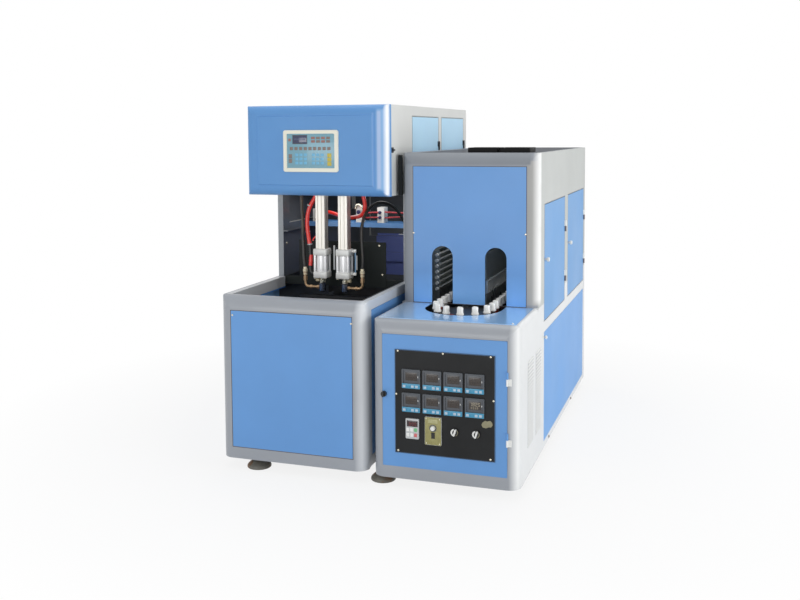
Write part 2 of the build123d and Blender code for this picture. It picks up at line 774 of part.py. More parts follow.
with BuildPart() as air_hoses:
    expected = hose(placed(left_air), air_hose_r)
    expected += hose(placed(right_air), air_hose_r)
print("volume over section times length", round(air_hoses.part.volume / expected, 4))
finish(air_hoses, "air_hoses")

# Clamp: a fixed front platen, a moving platen on four tie bars and a cylinder on the back platen
platen_mid = (platen_z + platen_top) / 2
tie_x = platen_w / 2 - tie_in
tie_z = (platen_top - platen_z) / 2 - tie_in
tie_places = [(blow_x + x * tie_x, platen_mid + z * tie_z) for x in (-1, 1) for z in (-1, 1)]
rod_z = (mould_z + mould_top) / 2


def platen(y, tie_hole, rod_hole=0.0):
    """A platen plate with four tie bar holes, and a hole for the clamp rod where one is given."""
    with BuildSketch(Plane.XZ.offset(-y - platen_t)) as plate:
        with Locations((blow_x, platen_mid)):
            RectangleRounded(platen_w, platen_top - platen_z, 3 * corner_r)
        with Locations(*tie_places):
            Circle(tie_hole, mode=Mode.SUBTRACT)
        if rod_hole:
            with Locations((blow_x, rod_z)):
                Circle(rod_hole, mode=Mode.SUBTRACT)
    extrude(plate.sketch, amount=platen_t)


def mould_half(y):
    """Half of the two-cavity bottle mould; both halves are cut by the same bottles on the parting plane."""
    slab((blow_x - mould_w / 2, blow_x + mould_w / 2), (y, y + mould_t), (mould_z, mould_top))
    for cavity_x, _ in column_places:
        with BuildSketch(Plane.XZ.offset(-centre_y)) as bottle:
            with BuildLine():
                Polyline(
                    (cavity_x, mould_top), (cavity_x, cavity_z), (cavity_x + cavity_r, cavity_z),
                    (cavity_x + cavity_r, shoulder_z), (cavity_x + neck_r, neck_z),
                    (cavity_x + neck_r, mould_top), (cavity_x, mould_top),
                )
            make_face()
        revolve(bottle.sketch, axis=Axis((cavity_x, centre_y, 0), (0, 0, 1)), mode=Mode.SUBTRACT)


with BuildPart() as front_platen:
    platen(clamp_front, tie_r + fit)
finish(front_platen, "front_platen")

with BuildPart() as front_mould:
    mould_half(centre_y - mould_t)
finish(front_mould, "front_mould_half")

with BuildPart() as back_mould:
    mould_half(centre_y)
finish(back_mould, "back_mould_half")

with BuildPart() as moving_platen:
    platen(centre_y + mould_t, tie_r + fit)
finish(moving_platen, "moving_platen")

with BuildPart() as back_platen:
    platen(back_platen_y, tie_r + fit, clamp_rod_r + 2)
finish(back_platen, "back_platen")

tie_front = clamp_front - tie_nut
tie_back = back_platen_y + platen_t + tie_nut
with BuildPart() as tie_bars:
    with BuildSketch(Plane.XZ.offset(-tie_back)):
        with Locations(*tie_places):
            Circle(tie_r)
    extrude(amount=tie_back - tie_front)
    for nut_y in (clamp_front, tie_back):
        with BuildSketch(Plane.XZ.offset(-nut_y)):
            with Locations(*tie_places):
                RegularPolygon(tie_nut_r, 6)
        extrude(amount=tie_nut)
finish(tie_bars, "tie_bars")

barrel_y = back_platen_y + platen_t
chamber_l = clamp_stroke + piston_t + 2 * seal_air
with BuildPart() as clamp_cylinder:
    barrel_plane = Plane(origin=(blow_x, barrel_y, rod_z), x_dir=(1, 0, 0), z_dir=(0, 1, 0))
    with BuildSketch(barrel_plane):
        Circle(barrel_r)
    extrude(amount=chamber_l + 2 * cap_t)
    for cap_at in (0, chamber_l + cap_t):
        with BuildSketch(barrel_plane.offset(cap_at)):
            RectangleRounded(cap_side, cap_side, 2 * corner_r)
        extrude(amount=cap_t)
    with BuildSketch(barrel_plane.offset(cap_t)):
        Circle(piston_r + fit)
    extrude(amount=chamber_l, mode=Mode.SUBTRACT)
    with BuildSketch(barrel_plane):
        Circle(clamp_rod_r + fit)
    extrude(amount=cap_t, mode=Mode.SUBTRACT)
finish(clamp_cylinder, "clamp_cylinder")

piston_y = barrel_y + cap_t + seal_air
with BuildPart() as clamp_rod:
    rod_plane = Plane(origin=(blow_x, clamp_back, rod_z), x_dir=(1, 0, 0), z_dir=(0, 1, 0))
    with BuildSketch(rod_plane):
        Circle(clamp_rod_r)
    extrude(amount=piston_y + piston_t - clamp_back)
    with BuildSketch(rod_plane.offset(piston_y - clamp_back)):
        Circle(piston_r)
    extrude(amount=piston_t)
finish(clamp_rod, "clamp_rod")

# Black guard behind the columns, on a cross beam between the cabinet's side rails
with BuildPart() as guard_plate:
    slab((blow_x0 + rail, blow_x1 - rail), (front + guard_y + guard_t, front + guard_y + guard_t + beam_h),
         (bench_z - beam_h, bench_z))
    slab((blow_x - guard_w / 2, blow_x + guard_w / 2), (front + guard_y, front + guard_y + guard_t),
         (bench_z - beam_h, guard_top))
finish(guard_plate, "guard_plate")

shelf_y0 = front + shelf_y
with BuildPart() as valve_shelf:
    with BuildSketch(Plane.YZ.offset(blow_x0 + wall)):
        with BuildLine():
            Polyline(
                (shelf_y0, shelf_z), (shelf_y0 + shelf_d, shelf_z), (shelf_y0 + shelf_d, shelf_z - shelf_lip),
                (shelf_y0 + shelf_d - sheet_t, shelf_z - shelf_lip),
                (shelf_y0 + shelf_d - sheet_t, shelf_z - sheet_t),
                (shelf_y0 + sheet_t, shelf_z - sheet_t), (shelf_y0 + sheet_t, shelf_z - shelf_lip),
                (shelf_y0, shelf_z - shelf_lip), (shelf_y0, shelf_z),
            )
        make_face()
    extrude(amount=blow_w - 2 * wall)
finish(valve_shelf, "valve_shelf")

with BuildPart() as air_valves:
    for valve_x, valve_w, valve_h in valve_sizes:
        valve_left = blow_x0 + wall + valve_x - valve_w / 2
        slab((valve_left, valve_left + valve_w), (shelf_y0, shelf_y0 + valve_d), (shelf_z, shelf_z + valve_h))
finish(air_valves, "air_valves")

# Lower cabinet of the heater: rounded front block, open top under the tower and notches for its side doors
heat_door_x = (heat_x - heat_door_w / 2, heat_x + heat_door_w / 2)
heat_door_z = (heat_door_low, heat_door_top)
heat_lock_at = (heat_x + heat_lock_x, heat_lock_z)
oven_starts = [front + oven_door_front + n * oven_door_pitch for n in range(2)]
oven_doors = [(start, start + oven_door_w) for start in oven_starts]
oven_door_z = (oven_door_low, oven_door_top)
skirt_y = (oven_doors[0][0], oven_doors[1][1])
skirt_z = (skirt_low, skirt_top)
back_x = (heat_x0 + side_post, heat_x1 - side_post)
front_wall = rail + door_t
with BuildPart() as heater_cabinet:
    round_nose(heat_x0, heat_x1, front, tower_y, heat_foot_h, deck_z, nose_r, deck_margin_r)
    slab((heat_x0, heat_x1), (tower_y, heat_back), (heat_foot_h, deck_z))
    slab((heat_x0 + wall, heat_x1 - wall), (front + front_wall, heat_back - wall),
         (heat_foot_h + floor_t, deck_z - deck_t), Mode.SUBTRACT)
    slab((heat_x0 + wall, heat_x1 - wall), (tower_y, heat_back - wall), (deck_z - deck_t, deck_z),
         Mode.SUBTRACT)
    slab((heat_x0 + deck_in, heat_x1 - deck_in), (front + deck_edge, tower_y), (deck_z - deck_t, deck_z),
         Mode.SUBTRACT)
    window("front", heat_door_x, heat_door_z, front, door_t + door_air, front_wall)
    window("right", skirt_y, skirt_z, heat_x1, sheet_t, wall)
    window("left", skirt_y, skirt_z, heat_x0, sheet_t, wall)
    window("back", back_x, skirt_z, heat_back, sheet_t, wall)
    for door_y in oven_doors:
        window("right", door_y, oven_door_z, heat_x1, door_t + door_air, wall)
        window("left", door_y, oven_door_z, heat_x0, sheet_t, wall)
    # let-in seats for the control door's hinges, and the pocket in which the lock's tongue turns
    for hinge_z in heat_hinge_z:
        slab((heat_door_x[1], heat_door_x[1] + hinge_leaf), (front, front + hinge_let_in),
             (hinge_z - hinge_h / 2, hinge_z), Mode.SUBTRACT)
    with BuildSketch(wall_plane("front", heat_lock_at[0], heat_lock_z, front + door_t + door_air)):
        Circle(tongue_l + 1)
    extrude(amount=-2 * tongue_t - 2, mode=Mode.SUBTRACT)
    # two columns of pressed louvres
    for column_y in louvre_y:
        with BuildSketch(Plane.XZ.offset(-front - column_y - louvre_w / 2)):
            for n in range(louvre_count):
                low = louvre_low + n * louvre_pitch
                with BuildLine():
                    Polyline(
                        (heat_x1, low), (heat_x1 + louvre_out, low), (heat_x1, low + louvre_h), (heat_x1, low),
                    )
                make_face()
        extrude(amount=louvre_w)
    # cross beams under the chain table
    for wheel_at in wheel_centres:
        slab((heat_x0 + wall, heat_x1 - wall), (wheel_at - 2 * rail, wheel_at - rail),
             (table_z - rail, table_z))
finish(heater_cabinet, "heater_cabinet")

with BuildPart() as heater_deck:
    slab((heat_x0 + deck_in, heat_x1 - deck_in), (front + deck_edge, tower_y), (deck_z - deck_t, deck_z))
    with BuildSketch(Plane.XY.offset(deck_z)):
        with Locations((heat_x, front + wheel_y)):
            Circle(deck_r)
        with Locations((heat_x, front + wheel_y + deck_r)):
            Rectangle(2 * deck_r, 2 * deck_r)
    extrude(amount=-deck_t, mode=Mode.SUBTRACT)
finish(heater_deck, "heater_deck")

# Oven tower: rounded front uprights and top rail, solid side walls and a roof with two fan openings
tower_panel_x = (heat_x0 + tower_stile, heat_x1 - tower_stile)
tower_panel_top = heat_top_z - tower_rail
roof_t = wall / 2
fan_places = [(heat_x + x, front + fan_y) for x in fan_x]
with BuildPart() as oven_tower:
    with BuildSketch(Plane.XY.offset(deck_z)) as tower_plan:
        with Locations((heat_x, (tower_y + heat_back) / 2)):
            Rectangle(heat_w, heat_back - tower_y)
        fillet(tower_plan.vertices().group_by(Axis.Y)[0], radius=upper_nose_r)
    extrude(amount=heat_top_z - deck_z)
    with BuildSketch(Plane.YZ.offset(heat_x0)) as tower_flank:
        with Locations(((tower_y + heat_back) / 2, (deck_z + heat_top_z) / 2)):
            Rectangle(heat_back - tower_y, heat_top_z - deck_z)
        fillet(tower_flank.vertices().group_by(Axis.X)[0].sort_by(Axis.Y)[-1], radius=upper_nose_r)
    extrude(amount=heat_w, mode=Mode.INTERSECT)
    slab((heat_x0 + wall, heat_x1 - wall), (tower_y + front_wall, heat_back - wall),
         (deck_z, heat_top_z - roof_t), Mode.SUBTRACT)
    slab(tower_panel_x, (tower_y, tower_y + sheet_t), (deck_z, tower_panel_top), Mode.SUBTRACT)
    slab((tower_panel_x[0] + ledge, tower_panel_x[1] - ledge), (tower_y, tower_y + front_wall),
         (deck_z, tower_panel_top - ledge), Mode.SUBTRACT)
    for door_y in oven_doors:
        window("right", door_y, oven_door_z, heat_x1, door_t + door_air, wall)
        window("left", door_y, oven_door_z, heat_x0, sheet_t, wall)
    window("back", back_x, (deck_z + side_post, heat_top_z - side_post), heat_back, sheet_t, wall)
    with BuildSketch(Plane.XY.offset(heat_top_z)):
        with Locations(*fan_places):
            Circle(fan_r + sheet_t)
    extrude(amount=-roof_t, mode=Mode.SUBTRACT)
finish(oven_tower, "oven_tower")

# Blue front of the tower with the two arched slots that the preforms pass through
with BuildPart() as oven_front:
    front_z = (deck_z + lap_gap, tower_panel_top - lap_gap)
    with BuildSketch(wall_plane("front", heat_x, 0, tower_y)):
        with Locations((0, sum(front_z) / 2)):
            Rectangle(tower_panel_x[1] - tower_panel_x[0] - 2 * lap_gap, front_z[1] - front_z[0])
        with Locations((-slot_x, slot_top - slot_w / 2), (slot_x, slot_top - slot_w / 2)):
            Circle(slot_w / 2, mode=Mode.SUBTRACT)
        with Locations((-slot_x, (front_z[0] + slot_top - slot_w / 2) / 2),
                       (slot_x, (front_z[0] + slot_top - slot_w / 2) / 2)):
            Rectangle(slot_w, slot_top - slot_w / 2 - front_z[0], mode=Mode.SUBTRACT)
    extrude(amount=-sheet_t)
finish(oven_front, "oven_front_panel")

with BuildPart() as heater_cover_panels:
    sheet("right", skirt_y, skirt_z, heat_x1)
    sheet("left", skirt_y, skirt_z, heat_x0)
    sheet("back", back_x, skirt_z, heat_back)
    sheet("back", back_x, (deck_z + side_post, heat_top_z - side_post), heat_back)
    for door_y in oven_doors:
        sheet("left", door_y, oven_door_z, heat_x0)
    # gland of the mains cable
    gland_plane = wall_plane("back", heat_x, skirt_low + side_post, heat_back)
    with BuildSketch(gland_plane.offset(-panel_gap)):
        RegularPolygon(cable_r + 3 * sheet_t, 6)
    extrude(amount=panel_gap + gland_out / 2)
    with BuildSketch(gland_plane.offset(gland_out / 2)):
        Circle(cable_r + sheet_t)
    extrude(amount=gland_out / 2)
    with BuildSketch(gland_plane):
        Circle(cable_r)
    extrude(amount=gland_out, both=True, mode=Mode.SUBTRACT)
finish(heater_cover_panels, "heater_cover_panels")

for number, door_y in enumerate(oven_doors):
    with BuildPart() as oven_door:
        sheet("right", door_y, oven_door_z, heat_x1, door_gap, door_t)
        for hinge_z in oven_hinge_z:
            hinge_half(heat_x1 + hinge_r, door_y[1], hinge_z, (0, -1, 0), True)
        pull_plane = wall_plane("right", door_y[0] + pull_out, pull_z, heat_x1)
        with BuildSketch(pull_plane):
            Circle(pull_r / 2)
        extrude(amount=pull_out - pull_r)
        with BuildSketch(pull_plane.offset(pull_out - pull_r)):
            Circle(pull_r)
        extrude(amount=pull_r)
        fillet(oven_door.faces().sort_by(Axis.X)[-1].edges(), radius=corner_r)
    finish(oven_door, f"oven_side_door_{number + 1}")

# Frame halves of the hinges, each with its pin
with BuildPart() as door_hinges:
    for hinge_z in heat_hinge_z:
        hinge_half(heat_door_x[1], front - hinge_r, hinge_z, (-1, 0, 0), False, hinge_let_in)
    for door_y in oven_doors:
        for hinge_z in oven_hinge_z:
            hinge_half(heat_x1 + hinge_r, door_y[1], hinge_z, (0, -1, 0), False)
    for door_y in door_spans:
        for hinge_z in blow_hinge_z:
            hinge_half(blow_x1 + hinge_r, door_y[1], hinge_z, (0, -1, 0), False)
    # the head cover's hinges reach round to the left wall of the housing
    for hinge_z in cover_hinge_z:
        with BuildSketch(Plane.XY.offset(hinge_z - hinge_h / 2)):
            with Locations(cover_axis):
                Circle(hinge_r)
            with Locations((cover_axis[0], cover_axis[1] + hinge_r)):
                Rectangle(hinge_leaf_t, 2 * hinge_r)
            with Locations(((cover_axis[0] + blow_x0) / 2, shell_front + 2 * hinge_leaf_t)):
                Rectangle(blow_x0 - cover_axis[0], 2 * hinge_leaf_t)
            with Locations((blow_x0 - hinge_leaf_t / 2, shell_front + hinge_leaf / 2)):
                Rectangle(hinge_leaf_t, hinge_leaf)
        extrude(amount=hinge_h / 2)
        with BuildSketch(Plane.XY.offset(hinge_z)):
            with Locations(cover_axis):
                Circle(hinge_pin_r)
        extrude(amount=hinge_h / 2 - lap_gap)
finish(door_hinges, "door_hinges")

# Control door with its black instrument board; everything on the board is placed from the heater's middle
board_plane = wall_plane("front", heat_x, 0, front)
board_mid = (board_x, (board_low + board_top) / 2)
lock_at = (heat_lock_x, heat_lock_z)
with BuildPart() as control_door:
    sheet("front", heat_door_x, heat_door_z, front, door_gap, door_t)
    with BuildSketch(board_plane):
        with Locations(board_mid):
            Rectangle(board_w - 2 * ledge, board_top - board_low - 2 * ledge)
        with Locations(lock_at):
            Circle(lock_stem_r + fit)
    extrude(amount=-door_t, mode=Mode.SUBTRACT)
    for hinge_z in heat_hinge_z:
        hinge_half(heat_door_x[1], front - hinge_r, hinge_z, (-1, 0, 0), True)
finish(control_door, "control_door")

meter_places = [
    (meter_x + (column - 1.5) * meter_pitch_x, meter_low_z + row * meter_pitch_z)
    for row in range(2) for column in range(4)
]
selector_places = [(x, selector_z) for x in selector_x]
selector_stem_r = selector_r / 2
with BuildPart() as instrument_board:
    with BuildSketch(board_plane):
        with Locations(board_mid):
            Rectangle(board_w, board_top - board_low)
        with Locations(*meter_places):
            Rectangle(meter - 2 * corner_r, meter - 2 * corner_r, mode=Mode.SUBTRACT)
        with Locations(*selector_places):
            Circle(selector_stem_r + lap_gap, mode=Mode.SUBTRACT)
    extrude(amount=sheet_t)
finish(instrument_board, "instrument_board")

with BuildPart() as panel_meters:
    with BuildSketch(board_plane.offset(sheet_t)):
        with Locations(*meter_places):
            RectangleRounded(meter, meter, corner_r)
    extrude(amount=bezel_out)
    with BuildSketch(board_plane.offset(sheet_t + bezel_out)):
        with Locations(*meter_places):
            Rectangle(meter - 2 * bezel_rim, meter - 2 * bezel_rim)
    extrude(amount=-bezel_out / 2, mode=Mode.SUBTRACT)
    with BuildSketch(board_plane.offset(sheet_t)):
        with Locations(*meter_places):
            Rectangle(meter - 2 * corner_r - 2 * lap_gap, meter - 2 * corner_r - 2 * lap_gap)
    extrude(amount=-meter_body)
finish(panel_meters, "panel_meters")

# Two control pads in front of the board, and the two switch blocks behind it
speed_x = speed_pad[0]
rocker_y = board_face - bezel_out
with BuildPart() as drive_controls:
    with BuildSketch(board_plane.offset(sheet_t)):
        for pad_x, pad_w, pad_z, pad_h in (drive_pad, speed_pad):
            with Locations((pad_x, pad_z)):
                RectangleRounded(pad_w, pad_h, corner_r)
    extrude(amount=bezel_out)
    with BuildSketch(board_plane.offset(sheet_t + bezel_out)):
        with Locations((speed_x, rocker_z)):
            Rectangle(rocker_w + 2, rocker_h + 6)
    extrude(amount=1 - bezel_out, mode=Mode.SUBTRACT)
    with BuildSketch(Plane.YZ.offset(heat_x + speed_x - rocker_w / 2 - rocker_pin)):
        with Locations((rocker_y + rocker_pin, rocker_z)):
            Circle(rocker_pin / 2 + fit)
    extrude(amount=rocker_w + 2 * rocker_pin, mode=Mode.SUBTRACT)
    with BuildSketch(board_plane.offset(sheet_t + bezel_out)):
        with Locations((speed_x, speed_knob_z)):
            Circle(speed_stem_r + fit)
    extrude(amount=1 - bezel_out, mode=Mode.SUBTRACT)
    with BuildSketch(board_plane):
        with Locations(*selector_places):
            Rectangle(2 * selector_r, 2 * selector_r)
    extrude(amount=-switch_d)
    with BuildSketch(board_plane):
        with Locations(*selector_places):
            Circle(selector_stem_r + fit)
    extrude(amount=-switch_d / 4, mode=Mode.SUBTRACT)
finish(drive_controls, "drive_controls")

knob_plane = board_plane.offset(sheet_t + bezel_out + lap_gap)
with BuildPart() as speed_knob:
    with BuildSketch(knob_plane):
        with Locations((speed_x, speed_knob_z)):
            Circle(speed_knob_r)
    extrude(amount=knob_out - bezel_out, taper=8)
    with BuildSketch(knob_plane):
        with Locations((speed_x, speed_knob_z)):
            Circle(speed_stem_r)
    extrude(amount=-bezel_out / 2)
finish(speed_knob, "speed_knob")

# The rocker's section is a shallow V that tips on a cross pin
with BuildPart() as rocker_switch:
    with BuildSketch(Plane.YZ.offset(heat_x + speed_x - rocker_w / 2)):
        with BuildLine():
            Polyline(
                (rocker_y + 2, rocker_z + rocker_h / 2), (rocker_y - 3, rocker_z + rocker_h / 2),
                (rocker_y - 1, rocker_z), (rocker_y, rocker_z - rocker_h / 2),
                (rocker_y + 2, rocker_z - rocker_h / 2), (rocker_y + 5, rocker_z),
                (rocker_y + 2, rocker_z + rocker_h / 2),
            )
        make_face()
    extrude(amount=rocker_w)
    with BuildSketch(Plane.YZ.offset(heat_x + speed_x - rocker_w / 2 - rocker_pin + lap_gap)):
        with Locations((rocker_y + rocker_pin, rocker_z)):
            Circle(rocker_pin / 2)
    extrude(amount=rocker_w + 2 * rocker_pin - 2 * lap_gap)
finish(rocker_switch, "rocker_switch")

for side, place in zip(("left", "right"), selector_places):
    with BuildPart() as selector:
        with BuildSketch(board_plane.offset(-switch_d / 4 + lap_gap)):
            with Locations(place):
                Circle(selector_stem_r)
        extrude(amount=switch_d / 4 + sheet_t)
        with BuildSketch(board_plane.offset(sheet_t + lap_gap)):
            with Locations(place):
                Circle(selector_r)
        extrude(amount=bezel_out)
        with BuildSketch(board_plane.offset(sheet_t + lap_gap + bezel_out)):
            with Locations(place):
                SlotOverall(2 * selector_r - 2, selector_r * 0.7, rotation=90)
        extrude(amount=knob_out - bezel_out)
    finish(selector, f"selector_{side}")

# Lock of the control door: grip, stem through the leaf and a tongue behind it, drawn unlocked
with BuildPart() as door_lock:
    grip_plane = board_plane.offset(lap_gap)
    with BuildSketch(grip_plane):
        with Locations(lock_at):
            Circle(heat_lock_r)
    extrude(amount=lock_out / 2)
    with BuildSketch(grip_plane.offset(lock_out / 2)):
        with Locations(lock_at):
            SlotOverall(2 * heat_lock_r - 2, heat_lock_r * 0.7, rotation=90)
    extrude(amount=lock_out / 2 - lap_gap)
    with BuildSketch(grip_plane):
        with Locations(lock_at):
            Circle(lock_stem_r)
    extrude(amount=-door_t - 2 * lap_gap - 2 * tongue_t)
    with BuildSketch(board_plane.offset(-door_t - tongue_t)):
        with Locations((heat_lock_x, heat_lock_z + tongue_l / 2 - lock_stem_r / 2)):
            Rectangle(2 * lock_stem_r - 1, tongue_l - lock_stem_r)
    extrude(amount=-tongue_t)
finish(door_lock, "control_door_lock")


# Preform chain on two wheels: rollers, link plates at two heights and a holder on every roller
def wheel_stations(centre_y, facing):
    """The rollers that lie on a wheel, in the chain's direction; facing is 1 for the front wheel, else -1."""
    step = 2 * pi / teeth
    angles = [radians(wheel_phase) + n * step for n in range(-teeth // 4, teeth // 4 + 1)]
    return [
        (heat_x + facing * circle_r * sin(angle), centre_y - facing * circle_r * cos(angle))
        for angle in angles
    ]


front_stations = wheel_stations(wheel_centres[0], 1)
back_stations = wheel_stations(wheel_centres[1], -1)
right_run = [(front_stations[-1][0], front_stations[-1][1] + n * chain_pitch) for n in range(1, wheel_steps)]
left_run = [(back_stations[-1][0], back_stations[-1][1] - n * chain_pitch) for n in range(1, wheel_steps)]
stations = front_stations + right_run + back_stations + left_run
links = [(stations[n - 1], stations[n]) for n in range(len(stations))]


def link_plates(pairs, low, high):
    """Rounded link plates that join pairs of rollers."""
    with BuildSketch(Plane.XY.offset(low)) as plates:
        for (x0, y0), (x1, y1) in pairs:
            with Locations(Location(((x0 + x1) / 2, (y0 + y1) / 2, 0), degrees(atan2(y1 - y0, x1 - x0)))):
                SlotOverall(chain_pitch + plate_w, plate_w)
    extrude(plates.sketch, amount=high - low)


roller_z = chain_z + plate_t
chain_top = roller_z + roller_h + 2 * plate_t
with BuildPart() as preform_chain:
    with BuildSketch(Plane.XY.offset(roller_z)):
        with Locations(*stations):
            Circle(roller_r)
    extrude(amount=roller_h)
    link_plates(links, chain_z, roller_z)
    link_plates(links[0::2], chain_top - 2 * plate_t, chain_top - plate_t)
    link_plates(links[1::2], chain_top - plate_t, chain_top)
    with BuildSketch(Plane.XY.offset(chain_top - 2 * plate_t)):
        with Locations(*stations):
            Circle(plate_w / 2 - 2)
    extrude(amount=2 * plate_t)
finish(preform_chain, "preform_chain")

with BuildPart() as preform_holders:
    with BuildSketch(Plane.XY.offset(chain_top)):
        with Locations(*stations):
            Circle(holder_flange_r)
    extrude(amount=holder_flange_h)
    with BuildSketch(Plane.XY.offset(chain_top + holder_flange_h)):
        with Locations(*stations):
            Circle(holder_r)
    extrude(amount=holder_h - holder_flange_h)
finish(preform_holders, "preform_holders")

# Table that carries the wheel bearings, the chain tracks and the lamp banks
table_top = table_z + table_t
with BuildPart() as chain_table:
    with BuildSketch(Plane.XY.offset(table_z)):
        with Locations((heat_x, sum(wheel_centres) / 2)):
            Rectangle(table_w, wheel_centres[1] - wheel_centres[0] + 2 * circle_r)
    extrude(amount=table_t)
    for wheel_at in wheel_centres:
        with BuildSketch(Plane.XY.offset(table_z)):
            with Locations((heat_x, wheel_at)):
                Circle(hub_r)
        extrude(amount=-boss_h)
        with BuildSketch(Plane.XY.offset(table_top)):
            with Locations((heat_x, wheel_at)):
                Circle(shaft_r + fit)
        extrude(amount=-boss_h - table_t, mode=Mode.SUBTRACT)
    for run in (right_run, left_run):
        slab((run[0][0] - track_w / 2, run[0][0] + track_w / 2), wheel_centres, (table_top, chain_z))
finish(chain_table, "chain_table")

boss_low = table_z - boss_h
disc_z = roller_z + (roller_h - wheel_t) / 2
for side, wheel_at in zip(("front", "back"), wheel_centres):
    axis_at = Location((heat_x, wheel_at, 0))
    with BuildPart() as chain_wheel:
        with BuildSketch(Plane.XY.offset(disc_z) * axis_at):
            Circle(circle_r - plate_t)
            with PolarLocations(circle_r, teeth, start_angle=wheel_phase):
                Circle(roller_r + pocket_air, mode=Mode.SUBTRACT)
        extrude(amount=wheel_t)
        with BuildSketch(Plane.XY.offset(table_top + lap_gap) * axis_at):
            Circle(hub_r)
        extrude(amount=disc_z - table_top - lap_gap)
        shaft_low = boss_low - collar_h - lap_gap if side == "front" else boss_low - gear_h / 2
        with BuildSketch(Plane.XY.offset(shaft_low) * axis_at):
            Circle(shaft_r)
        extrude(amount=table_top + 1 - shaft_low)
        if side == "front":
            with BuildSketch(Plane.XY.offset(shaft_low) * axis_at):
                Circle(collar_r)
            extrude(amount=collar_h)
    finish(chain_wheel, f"{side}_wheel")

# Gear box and motor under the back wheel
with BuildPart() as drive_motor:
    with BuildSketch(Plane.XY.offset(boss_low - gear_h)):
        with Locations((heat_x, wheel_centres[1])):
            RectangleRounded(gear_side, gear_side, 2 * corner_r)
    extrude(amount=gear_h)
    with BuildSketch(Plane.XY.offset(boss_low)):
        with Locations((heat_x, wheel_centres[1])):
            Circle(shaft_r + fit)
    extrude(amount=-gear_h / 2 - lap_gap, mode=Mode.SUBTRACT)
    motor_z = boss_low - gear_h / 2 - motor_drop
    motor_plane = wall_plane("front", heat_x, motor_z, wheel_centres[1] - gear_side / 2)
    with BuildSketch(motor_plane):
        Circle(motor_r)
    extrude(amount=motor_l)
finish(drive_motor, "drive_motor")

# Lamp banks: outer reflectors with tube lamps between end plates, and inner reflectors with a raised band
lamp_heights = [lamp_z + n * lamp_pitch for n in range(lamp_count)]
lamp_y0 = front + lamp_front
with BuildPart() as lamp_reflectors:
    for way in (-1, 1):
        outer = sorted((heat_x + way * reflector_x, heat_x + way * (reflector_x + reflector_t)))
        slab(outer, (lamp_y0, lamp_y0 + lamp_l), (table_top, reflector_top))
        lip = sorted((heat_x + way * (reflector_x - reflector_lip), heat_x + way * reflector_x))
        slab(lip, (lamp_y0, lamp_y0 + lamp_l), (reflector_top - reflector_t, reflector_top))
        end_plate = sorted((heat_x + way * (lamp_x - 1.5 * lamp_end_r), heat_x + way * reflector_x))
        for end_y in (lamp_y0, lamp_y0 + lamp_l - reflector_t):
            slab(end_plate, (end_y, end_y + reflector_t), (table_top, reflector_top))
        with BuildSketch(Plane.XZ.offset(-lamp_y0)):
            with Locations(*[(heat_x + way * lamp_x, z) for z in lamp_heights]):
                Circle(lamp_end_r)
        extrude(amount=-lamp_l, mode=Mode.SUBTRACT)
        inner = sorted((heat_x + way * inner_x, heat_x + way * (inner_x - reflector_t)))
        slab(inner, (front + inner_front, front + inner_front + inner_l), (table_top, reflector_top))
        band = sorted((heat_x + way * inner_x, heat_x + way * (inner_x + inner_band_t)))
        slab(band, (front + inner_front, front + inner_front + inner_l), inner_band)
finish(lamp_reflectors, "lamp_reflectors")

with BuildPart() as infrared_lamps:
    lamp_places = [(heat_x + way * lamp_x, z) for way in (-1, 1) for z in lamp_heights]
    with BuildSketch(Plane.XZ.offset(-lamp_y0)):
        with Locations(*lamp_places):
            Circle(lamp_r)
    extrude(amount=-lamp_l)
    for end_y in (lamp_y0 - lamp_end_l / 2, lamp_y0 + lamp_l - lamp_end_l / 2):
        with BuildSketch(Plane.XZ.offset(-end_y)):
            with Locations(*lamp_places):
                Circle(lamp_end_r)
        extrude(amount=-lamp_end_l)
finish(infrared_lamps, "infrared_lamps")

# Exhaust fans on the roof: square frames with three struts, and rotors on fixed pins
with BuildPart() as fan_frames:
    with BuildSketch(Plane.XY.offset(heat_top_z)):
        with Locations(*fan_places):
            RectangleRounded(fan_side, fan_side, 2 * corner_r)
            Circle(fan_r + sheet_t, mode=Mode.SUBTRACT)
    extrude(amount=fan_h)
    for place in fan_places:
        with BuildSketch(Plane.XY.offset(heat_top_z)):
            with Locations(place):
                Circle(fan_hub_r)
                with PolarLocations(fan_r / 2 + fan_strut / 2, 3):
                    Rectangle(fan_r + fan_strut, fan_strut)
        extrude(amount=fan_strut)
        with BuildSketch(Plane.XY.offset(heat_top_z + fan_strut)):
            with Locations(place):
                Circle(fan_pin_r)
        extrude(amount=fan_h / 2)
finish(fan_frames, "fan_frames")

hub_z = heat_top_z + fan_strut + lap_gap
for side, place in zip(("left", "right"), fan_places):
    with BuildPart() as exhaust_fan:
        with BuildSketch(Plane.XY.offset(hub_z)):
            with Locations(place):
                Circle(fan_hub_r)
        extrude(amount=fan_h - fan_strut - 2)
        with BuildSketch(Plane.XY.offset(hub_z)):
            with Locations(place):
                Circle(fan_pin_r + fit)
        extrude(amount=fan_h / 2, mode=Mode.SUBTRACT)
        with Locations(Location((place[0], place[1], hub_z + fan_h / 3))):
            with PolarLocations((fan_r + fan_hub_r) / 2 - 2, fan_blades):
                Box(fan_r - fan_hub_r, fan_h / 2, 2, rotation=(35, 0, 0))
    finish(exhaust_fan, f"exhaust_fan_{side}")
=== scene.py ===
import bpy
import bmesh
import math
from collections import namedtuple
from mathutils import Matrix, Vector


